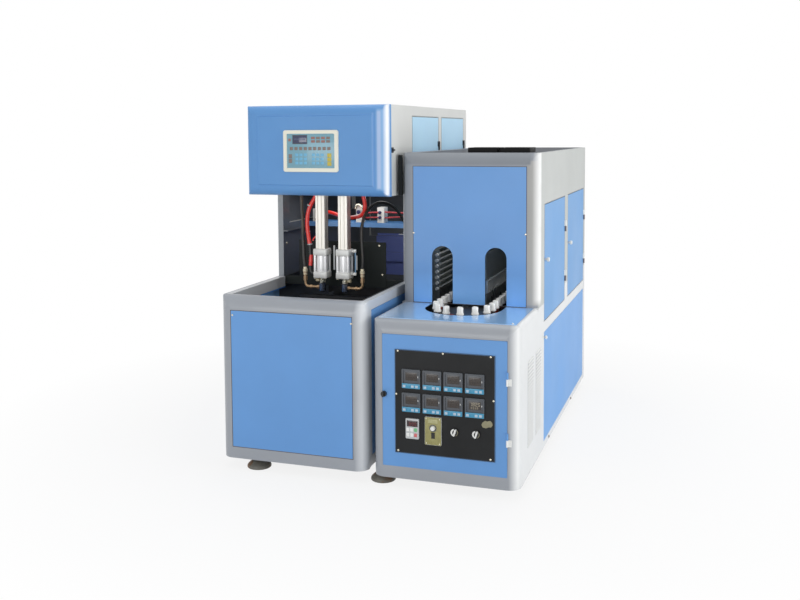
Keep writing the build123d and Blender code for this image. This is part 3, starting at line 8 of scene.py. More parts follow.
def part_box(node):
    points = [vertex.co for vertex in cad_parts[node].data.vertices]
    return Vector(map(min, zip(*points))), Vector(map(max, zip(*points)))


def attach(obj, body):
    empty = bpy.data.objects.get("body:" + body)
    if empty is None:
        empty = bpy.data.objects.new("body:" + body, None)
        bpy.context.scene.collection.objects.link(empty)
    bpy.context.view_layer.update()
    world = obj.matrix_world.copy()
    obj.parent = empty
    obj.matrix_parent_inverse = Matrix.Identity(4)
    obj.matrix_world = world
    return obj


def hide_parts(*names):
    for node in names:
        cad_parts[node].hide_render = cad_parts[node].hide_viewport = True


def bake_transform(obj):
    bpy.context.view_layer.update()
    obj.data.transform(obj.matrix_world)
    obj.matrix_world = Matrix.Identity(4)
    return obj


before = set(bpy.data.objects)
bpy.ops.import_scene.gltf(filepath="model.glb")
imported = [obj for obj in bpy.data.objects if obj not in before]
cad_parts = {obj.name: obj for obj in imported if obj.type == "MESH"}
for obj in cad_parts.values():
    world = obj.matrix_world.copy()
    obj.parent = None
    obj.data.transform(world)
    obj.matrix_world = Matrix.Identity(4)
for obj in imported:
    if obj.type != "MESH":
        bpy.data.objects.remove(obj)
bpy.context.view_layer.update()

# Places are in millimetres right of, behind and above the blowing unit's left front floor corner

MM = 0.001
RIGHT, FRONT, UP = Vector((1, 0, 0)), Vector((0, -1, 0)), Vector((0, 0, 1))
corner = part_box("blow_cabinet")[0]
Sides = namedtuple("Sides", "left front bottom right back top")


def at(x, y, z):
    """The point in metres of the row frame for a place in millimetres."""
    return Vector((corner.x + x * MM, corner.y + y * MM, z * MM))


def sides(node):
    """The six sides of a CAD node at rest, in millimetres."""
    start = Vector((corner.x, corner.y, 0))
    low, high = ((place - start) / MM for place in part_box(node))
    return Sides(*(round(value, 2) for value in (*low, *high)))


def centre(node):
    """The middle of a CAD node's box, in millimetres."""
    box = sides(node)
    return [(low + high) / 2 for low, high in zip(box[:3], box[3:])]


# Main sides, read from the frame, and sizes that all the frames share

bench, head, guard = sides("blow_cabinet"), sides("head_cover"), sides("guard_plate")
heater, tower = sides("heater_cabinet"), sides("oven_tower")
post, sheet, nose_radius = 29, 3, 58
skin = sheet - 0.4

# Nodes of materials and of the world


def linear(rgb):
    """Linear colour from display values of 0 to 255."""
    values = [c / 255 for c in rgb]
    return tuple(v / 12.92 if v <= 0.0404 else ((v + 0.055) / 1.055) ** 2.4 for v in values) + (1.0,)


class Tree:
    """Adds and joins nodes. An input takes a plain value or another node's output."""

    def __init__(self, owner):
        owner.use_nodes = True
        self.nodes, self.links = owner.node_tree.nodes, owner.node_tree.links

    def feed(self, node, inputs):
        """Sets or joins the inputs of a node, each by its name or number."""
        for socket, value in inputs.items():
            if isinstance(value, bpy.types.NodeSocket):
                self.links.new(value, node.inputs[socket])
            else:
                node.inputs[socket].default_value = value

    def add(self, kind, inputs, output=0, **settings):
        """One output of a new node."""
        node = self.nodes.new("ShaderNode" + kind)
        for setting, value in settings.items():
            setattr(node, setting, value)
        self.feed(node, inputs)
        return node.outputs[output]

    def noise(self, place, scale, detail):
        return self.add("TexNoise", {"Vector": place, "Scale": scale, "Detail": detail}, "Fac")

    def spread(self, value, low, high, to_low, to_high):
        """A value with its range from low to high stretched over another range."""
        limits = {"From Min": low, "From Max": high, "To Min": to_low, "To Max": to_high}
        return self.add("MapRange", {"Value": value, **limits}, "Result")

    def product(self, first, second):
        return self.add("Math", {0: first, 1: second}, operation="MULTIPLY")

    def mix(self, factor, first, second, kind="MIX"):
        """Two colours mixed: such a node has its colours at inputs 6 and 7 and its result at output 2."""
        return self.add("Mix", {0: factor, 6: first, 7: second}, 2, data_type="RGBA", blend_type=kind)


# Surfaces

NOISE_LOW, NOISE_HIGH = 0.3, 0.7


def zone(x, y, z, rgb, soft):
    """A box of another colour on a surface: three ranges and the softness of its edge, in millimetres."""
    low, high = (at(*place) for place in zip(x, y, z))
    return low, high, rgb, soft * MM


def finish(name, rgb, rough=0.42, metal=0.0, coat=0.0, mottle=0.035, patch=300, grain=2, bump=0.08,
           zones=(), stretch=(1, 1, 1), spots=None, uneven=0.06, shine=0.5, coat_rough=0.06):
    """A painted, plastic or metal surface: mottled colour, zones of other colours, uneven gloss, fine grain.

    The patches, the grain and the depth of its bumps are in millimetres. Spots are (colour, scale, threshold
    of the noise).
    """
    made = bpy.data.materials.new(name)
    tree = Tree(made)
    place = tree.add("TexCoord", {}, "Object")
    stretched = tree.add("VectorMath", {0: place, 1: stretch}, operation="MULTIPLY")
    colour = linear(rgb)
    for low, high, zone_rgb, soft in zones:
        away = tree.add("VectorMath", {0: place, 1: (low + high) / 2}, operation="SUBTRACT")
        distance = tree.add("VectorMath", {0: away}, operation="ABSOLUTE")
        axes = tree.add("SeparateXYZ", {0: distance}).node.outputs
        halves = (high - low) / 2
        inside = [tree.spread(axis, half, half - soft, 0.0, 1.0) for axis, half in zip(axes, halves)]
        share = tree.product(tree.product(inside[0], inside[1]), inside[2])
        colour = tree.mix(share, colour, linear(zone_rgb))
    clouds = tree.noise(stretched, 1 / (patch * MM), 4)
    shade = tree.spread(clouds, NOISE_LOW, NOISE_HIGH, 1 - mottle, 1 + mottle)
    grey = tree.add("CombineColor", {0: shade, 1: shade, 2: shade})
    colour = tree.mix(1.0, colour, grey, "MULTIPLY")
    if spots:
        spot_rgb, spot_scale, spot_from = spots
        spotted = tree.spread(tree.noise(stretched, spot_scale, 6), spot_from, spot_from + 0.08, 0.0, 1.0)
        colour = tree.mix(spotted, colour, linear(spot_rgb))
    gloss = tree.noise(stretched, 0.7 / (patch * MM), 5)
    relief = {"Strength": 0.5, "Distance": bump * MM, "Height": tree.noise(stretched, 1 / (grain * MM), 2)}
    tree.feed(tree.nodes["Principled BSDF"], {
        "Base Color": colour,
        "Roughness": tree.spread(gloss, NOISE_LOW, NOISE_HIGH, rough - uneven, rough + uneven),
        "Metallic": metal,
        "Coat Weight": coat,
        "Coat Roughness": coat_rough,
        "Specular IOR Level": shine,
        "Normal": tree.add("Bump", relief),
    })
    return made


# Colours, as display values

GREY = (156, 160, 166)
# Painted light: a pale copy of the grey paint, for right sides lit from the right
LIT_PALE = (216, 217, 213)
BLUE = (98, 153, 213)
SIDE_BLUE = (106, 158, 214)
HINGE_BLUE = (150, 196, 236)
# Painted highlights on the rounded right corners
CORNER_HIGHLIGHT_GREY = (216, 219, 222)
CORNER_HIGHLIGHT_WHITE = (241, 241, 239)
OFF_WHITE = (236, 236, 232)
WHITE_PAINT = (232, 233, 230)
# Painted shade on the lower halves of the oven door hinges
HINGE_SHADE = (128, 116, 114)
# Painted shade for the insides of the cabinets, the station and the cover sheets
INNER_SHADE = (86, 91, 98)
BLUE_IN_SHADE = (104, 118, 186)
SHADOW = (52, 52, 54)
DEEP_SHADE = (29, 31, 34)

# Ranges inside the cabinets: between the posts, just behind the front corners, and within the cover sheets

bench_x = (bench.left + post, bench.right - post)
bench_y = (nose_radius + 1, bench.back - post)
bench_z = (bench.bottom, bench.top + 1)
skin_x = (bench.left + skin, bench.right - skin)
skin_back = bench.back - skin
clamp_left, clamp_front, clamp_bottom = 150, 1700, 690
left_wall = ((10, 60), (nose_radius + 1, guard.front))
station_z = (bench.top - 1, head.bottom + 1)
heater_x = (tower.left + post, tower.right - post)
heater_skin_x = (tower.left + skin, tower.right - skin)
tower_side_x = (tower.right - 4, tower.right + 41)

# Frames: pale right corners and sides, a painted highlight and painted light for the studio light they
# reflect, and dark inner faces, a painted shade

grey_paint_blow = finish("grey_paint_bench", GREY, coat=0.25, zones=[
    # Painted highlight on the right corner and painted light on the paler right side
    zone((bench.right - 55, bench.right + 25), (-60, bench.back + 11), (20, bench.top + 35), CORNER_HIGHLIGHT_GREY, 34),
    # Painted shade inside the cabinet, on the grey frame and on the blue rear sheets
    zone(bench_x, bench_y, bench_z, DEEP_SHADE, 1),
    zone((clamp_left, bench_x[1]), (clamp_front, bench_y[1]), (clamp_bottom, bench_z[1]), BLUE_IN_SHADE, 1),
    zone(*left_wall, (bench.top - 54, bench.top + 2), (190, 192, 194), 1),
    zone(*left_wall, (bench.top - 140, bench.top - 54), (72, 142, 222), 1),
])
# The housing's pale base is painted light on the grey paint; its inner faces carry painted shade
grey_paint_housing = finish("grey_paint_housing", LIT_PALE, coat=0.25, zones=[
    zone((bench.left - 1, bench.right + 1), (guard.front, guard.front + 7), (bench.top - 2, station_z[1]),
         (150, 155, 160), 1),
    # Painted shade inside the station, at its blue rear and inside the head
    zone(bench_x, (guard.front + 5.5, bench_y[1]), station_z, INNER_SHADE, 1),
    zone((clamp_left, 730), (guard.front + 7, 1810), (station_z[0], 960), BLUE_IN_SHADE, 4),
    zone(bench_x, (380, bench_y[1]), (head.bottom + 14.5, head.top - 14), DEEP_SHADE, 1),
])
grey_paint_heater = finish("grey_paint_heater", GREY, coat=0.25, zones=[
    # Painted highlight on the right corner and painted light on the paler right side
    zone((tower.right - 48, tower.right + 27), (-60, tower.back + 8), (10, tower.bottom + 38),
         (243, 244, 242), 44),
    # Painted shade inside the cabinet
    zone(heater_x, (nose_radius + 1, 2020), (60, tower.bottom + 1), DEEP_SHADE, 1),
])

# The tower's zones are its right post and right side painted paler as lit from the right, a painted highlight
# on its right corner, its roof darker inside the rim, its upper front rail in painted shade and its inside in
# painted shade

edge, front, roof = tower.right, tower.front, tower.top
above_deck = tower.bottom + 8
grey_paint_tower = finish("grey_paint_tower", GREY, rough=0.5, coat=0.04, shine=0.0, zones=[
    # Painted light: the right post paler
    zone((edge - 61, edge + 41), (front - 20, front + 70), (above_deck, roof - 33), (176, 175, 172), 8),
    # Painted light: the right side paler
    zone((edge - 19, edge + 21), (front + 20, tower.back + 6), (700, roof + 47), (195, 197, 194), 12),
    # Painted highlight on the right corner
    zone((edge - 32, edge + 61), (front - 70, front + 78), (above_deck, roof + 32), CORNER_HIGHLIGHT_WHITE, 30),
    zone((830, edge - 19), (front + 62, tower.back), (roof - 5, roof + 17), (108, 110, 114), 4),
    # Painted shade on the upper front rail
    zone((700, edge - 35), (front - 20, front + 50), (roof - 61, roof + 32), (147, 151, 156), 10),
    # Painted shade inside the tower
    zone(heater_x, (front + nose_radius + 1, tower.back - post), (700, roof - post), (96, 100, 98), 1),
])

# Panels, covers and doors: painted highlight bands on the head cover's right edge, painted light low on the
# oven panel and on the left sheet's inner face, a painted highlight on the deck, and painted shade on the
# dark inner faces of the sheets

blue_paint = finish("blue_paint", BLUE, rough=0.45, coat=0.1)
oven_blue = finish("blue_paint_oven", BLUE, rough=0.45, coat=0.1, zones=[
    # Painted light: the lower part of the oven panel paler
    zone((700, 1500), (0, 1000), (500, 930), (122, 186, 254), 160),
])
highlight_band_y = (250, 352)
blue_cover = finish("blue_paint_cover", (103, 155, 211), rough=0.45, coat=0.04, shine=0.2, zones=[
    # Painted highlight bands on the rounded right edge of the cover
    zone((head.right - 80, head.right - 68), highlight_band_y, (1350, 1712), (124, 168, 218), 4),
    zone((head.right - 62, head.right + 38), highlight_band_y, (1330, 1733), (146, 186, 228), 12),
    zone((head.right - 56, head.right - 30), highlight_band_y, (1340, 1722), (180, 202, 236), 9),
    zone((head.right - 25, head.right + 15), highlight_band_y, (1300, 1765), (254, 255, 255), 17),
])
side_blue = finish("blue_paint_side", SIDE_BLUE, rough=0.5, zones=[
    # Painted shade on the inner faces of the cover sheets
    zone(skin_x, (60, skin_back), (60, 1730), INNER_SHADE, 0.3),
    # Painted light: the left sheet's inner face paler blue against its shade
    zone((skin_x[0], 10), (60, guard.front), (60, 800), (150, 205, 255), 0.3),
    # Painted shade at the blue rear and inside the heater
    zone((clamp_left, skin_x[1]), (clamp_front, skin_back), (clamp_bottom, 960), BLUE_IN_SHADE, 0.3),
    zone(heater_skin_x, (60, tower.back - skin), (60, 1500), DEEP_SHADE, 0.3),
])
pale_blue = finish("light_blue_paint", (190, 230, 254), rough=0.5, zones=[
    zone((bench.right + 0.4, bench.right + 45), (600, 1900), (900, 1800), SHADOW, 0.5),
])
door_blue = finish("blue_paint_doors", (103, 154, 205), rough=0.5, zones=[
    zone((tower.right + 0.3, tower_side_x[1]), (500, 2100), (600, 1500), WHITE_PAINT, 0.5),
])
gloss_blue = finish("blue_paint_gloss", (157, 203, 250), rough=0.2, coat=0.8, bump=0.01, uneven=0.02,
                    coat_rough=0.16, zones=[
    # Painted highlight: the deck's front left paler
    zone((640, 930), (-200, 700), (300, 1250), (186, 210, 234), 120),
])
black_paint = finish("black_paint", (44, 48, 47), rough=0.6, shine=0.12)

# Hinges: of the control door, the oven's side doors, the blowing unit's doors and the head cover

hinge_white = finish("hinge_paint", OFF_WHITE, rough=0.35, zones=[
    *(zone((1380, 1440), (-60, 60), (z, z + 34), (150, 198, 240), 1) for z in (541, 271)),
    # Painted shade on the lower halves of the oven door hinges
    *(zone(tower_side_x, (500, 2100), (z, z + 31), HINGE_SHADE, 1) for z in (789, 1064)),
    *(zone(tower_side_x, (500, 2100), (z, z + 31), HINGE_BLUE, 1) for z in (820, 1095)),
    zone((bench.right - 45, bench.right + 55), (1100, 1900), (1000, 1800), SHADOW, 1),
    zone((-40, -5), (250, 420), (1200, 1800), (112, 160, 214), 1),
])

# Plastics, rubber and films

cream = finish("cream_plastic", (236, 233, 216), rough=0.35, bump=0.12, grain=1.2)
teal = finish("teal_film", (120, 166, 182), rough=0.3, coat=0.2)
screen_navy = finish("navy_screen", (24, 34, 78), rough=0.12, coat=0.8, mottle=0.2, patch=30)
screen_text = finish("screen_segments", (70, 84, 120), rough=0.3)
key_brown = finish("brown_keys", (128, 112, 104), rough=0.45, mottle=0.12, patch=10)
key_red = finish("red_brown_keys", (150, 104, 96), rough=0.45, mottle=0.1, patch=10)
key_blue = finish("light_blue_keys", (110, 178, 212), rough=0.4, mottle=0.06, patch=10)
key_yellow = finish("yellow_keys", (196, 178, 62), rough=0.4, mottle=0.06, patch=10)
key_green = finish("green_key", (110, 190, 128), rough=0.4)
key_start = finish("red_key", (206, 104, 104), rough=0.4)
black_plastic = finish("black_plastic", (30, 30, 31), rough=0.35, bump=0.15, grain=1)
fan_black = finish("fan_black", (20, 20, 21), rough=0.6, shine=0.15, mottle=0.1, bump=0.15, grain=1)
board_black = finish("black_board", (31, 32, 33), rough=0.45, mottle=0.25, patch=120, shine=0.2)
olive = finish("olive_plastic", (102, 100, 92), rough=0.5, mottle=0.16, patch=40, bump=0.4, grain=3,
               spots=((112, 84, 58), 16, 0.56))
white_plastic = finish("white_plastic", OFF_WHITE, rough=0.3, bump=0.06, grain=1)
light_grey = finish("grey_plastic", (196, 198, 198), rough=0.4, bump=0.1, grain=1)
bezel_grey = finish("bezel_plastic", (76, 80, 86), rough=0.42, bump=0.12, grain=1)
display_dark = finish("display_glass", (50, 44, 40), rough=0.3, coat=0.2, mottle=0.15, patch=30)
display_red = finish("display_red", (44, 20, 24), rough=0.2, coat=0.3, mottle=0.15, patch=20)
digit_dim = finish("digits_dim", (70, 58, 50), rough=0.4)
digit_red = finish("digits_red", (120, 44, 48), rough=0.4)
digit_lit = finish("digits_lit", (168, 158, 138), rough=0.4)
strip_blue = finish("strip_blue", (62, 146, 182), rough=0.35, mottle=0.06, patch=20)
strip_cell = finish("strip_cells", (178, 196, 212), rough=0.35, mottle=0.08, patch=10)
khaki = finish("khaki_tag", (142, 136, 108), rough=0.55, mottle=0.1, patch=15)
red_hose = finish("red_hose", (246, 56, 48), rough=0.3, coat=0.3, mottle=0.06, patch=50)
dark_hose = finish("dark_hose", (38, 37, 35), rough=0.4, mottle=0.3, patch=30, bump=0.2, grain=1.5,
                   spots=((110, 84, 54), 30, 0.62), zones=[
    zone((170, 240), (500, 600), (1080, 1320), (98, 82, 58), 60),
    zone((515, 560), (500, 640), (1060, 1240), (82, 72, 60), 50),
])
blue_tube = finish("blue_tube", (120, 160, 196), rough=0.2, coat=0.4, mottle=0.05)
dark_red = finish("dark_red_tube", (176, 36, 48), rough=0.35, coat=0.2, mottle=0.1, patch=40)
navy_port = finish("navy_port", (38, 40, 92), rough=0.3, mottle=0.08, patch=20)
rubber = finish("seal_rubber", (84, 78, 76), rough=0.6, bump=0.1, grain=1)
# A dark strip that stands in for the shade in the gap between the units
gap_shade_black = finish("gap_shade_strip", (40, 42, 43), rough=0.8, bump=0.1, grain=1, shine=0.1)
seam_grey = finish("seam_grey", (146, 148, 148), rough=0.6)
# Dark blue round the board: painted shade of its recess
recess_shade_blue = finish("recess_shade_blue", (60, 84, 112), rough=0.6)
holder_white = finish("white_holders", (247, 246, 241), rough=0.28, coat=0.3, mottle=0.02, bump=0.04,
                      grain=1)

# Metals and glass: shaded right sides of the stretch cylinders, pale tees, pale ends of the lamps

stretch = sides("stretch_cylinders")
cylinder_pitch = centre("seal_nozzle_right")[0] - centre("seal_nozzle_left")[0]
gold = finish("gold_plate", (152, 146, 92), rough=0.45, mottle=0.12, patch=20)
gold_label = finish("gold_label", (176, 172, 126), rough=0.5, mottle=0.1, patch=10)
aluminium = finish("aluminium", (236, 232, 223), rough=0.34, metal=0.3, mottle=0.03, patch=200, bump=0.03,
                   stretch=(60, 60, 1), zones=[
    zone((right - 0.35, right + 1.25), (505, 570), (1000, 1400), rgb, 0.3)
    for right, rgb in ((stretch.right - cylinder_pitch, (150, 146, 142)), (stretch.right, (186, 148, 142)))
])
cast_white = finish("cast_aluminium", (238, 237, 232), rough=0.3, coat=0.4, mottle=0.04, patch=40, bump=0.1,
                    grain=1.5)
polished = finish("polished_barrel", (246, 246, 246), rough=0.16, metal=0.25, coat=0.6, mottle=0.02)
steel = finish("steel", (150, 158, 176), rough=0.24, metal=1.0, mottle=0.12, patch=30, zones=[
    zone((250, 500), (480, 600), (835, 870), (236, 232, 214), 1),
])
dark_steel = finish("dark_steel", (64, 64, 66), rough=0.4, metal=0.8, mottle=0.1, patch=60)
cast_dark = finish("cast_steel", (62, 63, 66), rough=0.5, metal=0.5, mottle=0.12, patch=80, bump=0.3)
chrome = finish("chrome", (214, 216, 220), rough=0.1, metal=1.0, mottle=0.02)
brass = finish("brass", (190, 158, 122), rough=0.3, metal=0.6, mottle=0.12, patch=30)
union_cream = finish("union_cream", (226, 214, 184), rough=0.3, metal=0.2, coat=0.2, mottle=0.1, patch=20)
nickel = finish("nickel", (214, 208, 190), rough=0.25, metal=0.8, mottle=0.06, patch=30)
chain_steel = finish("chain_steel", (58, 48, 44), rough=0.45, metal=0.6, mottle=0.2, patch=50, bump=0.2,
                     spots=((168, 62, 48), 22, 0.56))
reflector = finish("reflector", (176, 182, 182), rough=0.3, metal=0.5, mottle=0.1, zones=[
    zone((1000, 1240), (540, 1800), (812, 882), (246, 250, 250), 4),
])
lamp_glass = finish("lamp_glass", (176, 180, 178), rough=0.42, mottle=0.1, patch=300, zones=[
    zone((700, 1500), (600, 662), (700, 1100), (255, 255, 252), 1),
    zone((700, 1500), (1770, 1900), (700, 1100), (236, 236, 230), 1),
])

# Dressing of the CAD nodes

dressing = {
    olive: ["levelling_feet"],
    grey_paint_blow: ["blow_cabinet"],
    grey_paint_housing: ["blow_housing"],
    grey_paint_heater: ["heater_cabinet"],
    grey_paint_tower: ["oven_tower"],
    blue_paint: ["blow_front_panel", "valve_shelf", "control_door"],
    side_blue: ["blow_cover_panels", "heater_cover_panels"],
    pale_blue: ["blow_side_door_1", "blow_side_door_2"],
    door_blue: ["oven_side_door_1", "oven_side_door_2"],
    blue_cover: ["head_cover"],
    gloss_blue: ["heater_deck"],
    oven_blue: ["oven_front_panel"],
    hinge_white: ["door_hinges"],
    cream: ["control_panel"],
    black_plastic: ["head_cover_lock", "rocker_switch", "control_door_lock"],
    black_paint: ["guard_plate"],
    fan_black: ["fan_frames", "exhaust_fan_left", "exhaust_fan_right"],
    board_black: ["instrument_board"],
    bezel_grey: ["panel_meters"],
    light_grey: ["drive_controls"],
    white_plastic: ["speed_knob", "selector_left", "selector_right"],
    aluminium: ["stretch_cylinders"],
    cast_white: ["seal_cylinders", "air_valves"],
    chrome: ["stretch_rod_left", "stretch_rod_right", "tie_bars", "clamp_rod"],
    steel: ["seal_nozzle_left", "seal_nozzle_right"],
    brass: ["blow_elbow_left", "blow_elbow_right"],
    dark_hose: ["blow_hose_left", "blow_hose_right"],
    red_hose: ["air_hoses"],
    cast_dark: ["front_platen", "front_mould_half", "back_mould_half", "moving_platen", "back_platen",
                "clamp_cylinder", "front_wheel", "back_wheel", "drive_motor"],
    chain_steel: ["preform_chain"],
    holder_white: ["preform_holders"],
    dark_steel: ["chain_table"],
    reflector: ["lamp_reflectors"],
    lamp_glass: ["infrared_lamps"],
}
for material, nodes in dressing.items():
    for node in nodes:
        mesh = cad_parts[node].data
        mesh.materials.clear()
        mesh.materials.append(material)

# Building pieces


class Shape:
    """Gathers rounded blocks, turned forms and plates, all in millimetres, into one piece."""

    def __init__(self):
        self.mesh = bmesh.new()
        self.materials = []

    def take(self, part, material):
        """Moves a part into this shape."""
        if material not in self.materials:
            self.materials.append(material)
        for face in part.faces:
            face.material_index = self.materials.index(material)
            face.smooth = True
        held = bpy.data.meshes.new("held")
        part.to_mesh(held)
        part.free()
        self.mesh.from_mesh(held)
        bpy.data.meshes.remove(held)

    def block(self, x, y, z, radius, material, segments=2):
        """A box with rounded edges over three ranges."""
        low, high = (at(*place) for place in zip(x, y, z))
        size = high - low
        part = bmesh.new()
        bmesh.ops.create_cube(part, size=1)
        part.transform(Matrix.Translation((low + high) / 2) @ Matrix.Diagonal((*size, 1)))
        edges = part.edges[:]
        offset = min(radius * MM, min(size) * 0.49)
        bmesh.ops.bevel(part, geom=edges, offset=offset, segments=segments, profile=0.5, affect="EDGES")
        self.take(part, material)

    def turned(self, place, axis, profile, material, facets=32):
        """A form turned about an axis through a place; the profile gives (radius, height) pairs along it."""
        part = bmesh.new()
        rings = []
        for radius, height in profile:
            turns = [math.tau * n / facets for n in range(facets)] if radius else [0]
            rings.append([
                part.verts.new((radius * MM * math.cos(turn), radius * MM * math.sin(turn), height * MM))
                for turn in turns
            ])
        for first, second in zip(rings, rings[1:]):
            for n in range(facets):
                loop = [first[n % len(first)], first[(n + 1) % len(first)],
                        second[(n + 1) % len(second)], second[n % len(second)]]
                corners = list(dict.fromkeys(loop))
                if len(corners) > 2:
                    part.faces.new(corners)
        bmesh.ops.recalc_face_normals(part, faces=part.faces[:])
        facing = UP.rotation_difference(Vector(axis)).to_matrix().to_4x4()
        part.transform(Matrix.Translation(at(*place)) @ facing)
        self.take(part, material)

    def plate(self, outline, low, high, material, flat=False, rounding=0):
        """An extruded outline: (x, z) points between two y, or where flat (x, y) points between two z.

        The edges at the low end can be rounded.
        """
        part = bmesh.new()
        ends = []
        for depth in (low, high):
            places = [at(x, other, depth) if flat else at(x, depth, other) for x, other in outline]
            ends.append([part.verts.new(place) for place in places])
        part.faces.new(ends[0])
        part.faces.new(reversed(ends[1]))
        for n in range(len(outline)):
            part.faces.new([ends[0][n - 1], ends[1][n - 1], ends[1][n], ends[0][n]])
        if rounding:
            rim = [edge for edge in part.edges if all(point in ends[0] for point in edge.verts)]
            bmesh.ops.bevel(part, geom=rim, offset=rounding * MM, segments=4, profile=0.5, affect="EDGES")
        bmesh.ops.recalc_face_normals(part, faces=part.faces[:])
        self.take(part, material)

    def piece(self, name, body, replaces=()):
        """The finished piece, riding on a body."""
        data = bpy.data.meshes.new(name)
        self.mesh.to_mesh(data)
        self.mesh.free()
        for material in self.materials:
            data.materials.append(material)
        data.set_sharp_from_angle(angle=math.radians(38))
        made = bpy.data.objects.new(name, data)
        bpy.context.collection.objects.link(made)
        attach(made, body)
        if replaces:
            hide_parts(*replaces)


def screw(shape, place, facing, radius, material):
    """A domed screw head with a round socket."""
    shares = ((1, 0.25), (0.8, 0.5), (0.5, 0.62), (0.42, 0.62), (0.36, 0.25), (0, 0.22))
    profile = [(radius, -0.2)] + [(radius * out, radius * up) for out, up in shares]
    shape.turned(place, facing, profile, material, facets=20)


def strips(across, up, width):
    """The four strips round a rectangle, each a range across and a range up."""
    wide = (across[0] - width, across[1] + width)
    return (
        (wide, (up[1], up[1] + width)), (wide, (up[0] - width, up[0])),
        ((across[0] - width, across[0]), up), ((across[1], across[1] + width), up),
    )


def front_frame(shape, x, z, face, width, out, material):
    """A flat seam strip round a rectangle on a front face."""
    for across, up in strips(x, z, width):
        shape.block(across, (face - out, face + 1), up, 0.4, material)


def side_frame(shape, y, z, face, width, out, material):
    """A flat seam strip round a rectangle on a right-hand face."""
    for across, up in strips(y, z, width):
        shape.block((face - 1, face + out), across, up, 0.4, material)


def arc(x, y, radius, first, last, step):
    """Points on a circle from one angle to another, in degrees."""
    turns = [math.radians(turn) for turn in range(first, last + (1 if step > 0 else -1), step)]
    return [(x + radius * math.cos(turn), y + radius * math.sin(turn)) for turn in turns]


def spline(name, route, radius, material):
    """A round hose along one smooth curve."""
    curve = bpy.data.curves.new(name, "CURVE")
    curve.dimensions = "3D"
    line = curve.splines.new("NURBS")
    line.points.add(len(route) - 1)
    for held, place in zip(line.points, route):
        held.co = (*at(*place), 1)
    line.order_u = 3
    line.use_endpoint_u = True
    line.resolution_u = 10
    curve.bevel_depth = radius * MM
    curve.bevel_resolution = 6
    curve.use_fill_caps = True
    curve.materials.append(material)
    made = bpy.data.objects.new(name, curve)
    bpy.context.collection.objects.link(made)
    return made


def hose(name, route, radius, material, replaces=()):
    """A hose that is fixed to the machine."""
    made = spline(name, route, radius, material)
    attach(made, "machine")
    if replaces:
        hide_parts(*replaces)


def bending_hose(name, route, radius, material, replaced):
    """A hose made into a plain mesh along one smooth curve, in place of a CAD node."""
    line = spline(name + "_line", route, radius, material)
    data = bpy.data.meshes.new_from_object(line)
    bpy.data.objects.remove(line)
    for face in data.polygons:
        face.use_smooth = True
    made = bpy.data.objects.new(name, data)
    bpy.context.collection.objects.link(made)
    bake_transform(made)
    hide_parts(replaced)


# Control panel: membrane, screen and keys

panel = Shape()
panel_face = sides("control_panel").front
key_y = (panel_face, panel_face + 2)


def key(x, z, half_width, half_height, material):
    """A raised key of the membrane."""
    panel.block((x - half_width, x + half_width), key_y, (z - half_height, z + half_height), 0.9, material)


panel.block((230, 484), (panel_face + 1.2, panel_face + 2.5), (1441, 1610), 0.5, teal)
panel.block((263, 337), key_y, (1562, 1601), 1, screen_navy)
panel.block((260, 340), (panel_face + 0.4, panel_face + 2), (1559, 1604), 1, bezel_grey)
for x in range(269, 332, 7):
    panel.block((x, x + 4), (panel_face - 0.4, panel_face + 1), (1578, 1588), 0.3, screen_text)
for column in range(4):
    for z in (1572, 1589):
        key(371 + 26.8 * column, z, 10, 6, key_brown if column % 2 else key_red)
for n in range(9):
    key(254.2 + 25.1 * n, 1537, 8.5, 8, key_brown)
key(245, 1579.5, 7, 6.5, key_red)
for z in (1476, 1499):
    key(248, z, 9, 10, key_brown)
for first in (282.7, 372.4):
    for column in range(3):
        for z in (1465.8, 1485.8, 1505.9):
            key(first + 23 * column, z, 8.5, 7, key_blue)
for z in (1462, 1483, 1504):
    key(457, z, 11, 9.5, key_yellow)
panel.piece("control_panel_face", "cover")

# Screws on the panels of both units, and a white knob on the heater's side

panel_screw = 4.6
bench_screws = Shape()
for x, z in ((71.4, 748.8), (679, 742)):
    screw(bench_screws, (x, bench.front, z), FRONT, panel_screw, nickel)
bench_screws.piece("bench_panel_screws", "machine")

tower_screws = Shape()
for x, z in ((838, 1119), (1396, 1126)):
    screw(tower_screws, (x, tower.front, z), FRONT, panel_screw, nickel)
screw(tower_screws, (1418, 58, tower.bottom), UP, panel_screw, nickel)
for y, z in ((753, 62), (1497, 60)):
    screw(tower_screws, (tower.right, y, z), RIGHT, 7, key_brown)
knob_profile = [(4, 0), (4, 6), (9, 7), (9, 12), (7, 14), (0, 14.5)]
tower_screws.turned((tower.right, 613, 603), RIGHT, knob_profile, white_plastic)
tower_screws.piece("heater_panel_screws", "machine")

# Seams round the front panels and the side doors

seams = Shape()
bench_panel, oven_panel = sides("blow_front_panel"), sides("oven_front_panel")
front_frame(seams, (bench_panel.left - 0.5, bench_panel.right + 0.5),
            (bench_panel.bottom - 0.5, bench_panel.top + 0.5), bench.front, 2.6, 0.5, rubber)
front_frame(seams, (oven_panel.left + 1.7, oven_panel.right - 1.7),
            (oven_panel.bottom + 2.7, oven_panel.top - 1.7), tower.front, 2.6, 0.5, rubber)
for unit, face, door_width in (("blow", bench.right, 478), ("oven", tower.right, 632)):
    for number in (1, 2):
        door = sides(f"{unit}_side_door_{number}")
        door_y = (door.front - 4, door.front + door_width + 4)
        side_frame(seams, door_y, (door.bottom - 4, door.top + 4), face, 2.4, 0.4, seam_grey)
seams.piece("panel_seams", "machine")

# Folded lips under the frames, and a dark strip in the gap between the units that stands in for its shade

lips = Shape()
hair, lip_start = 0.4, 75


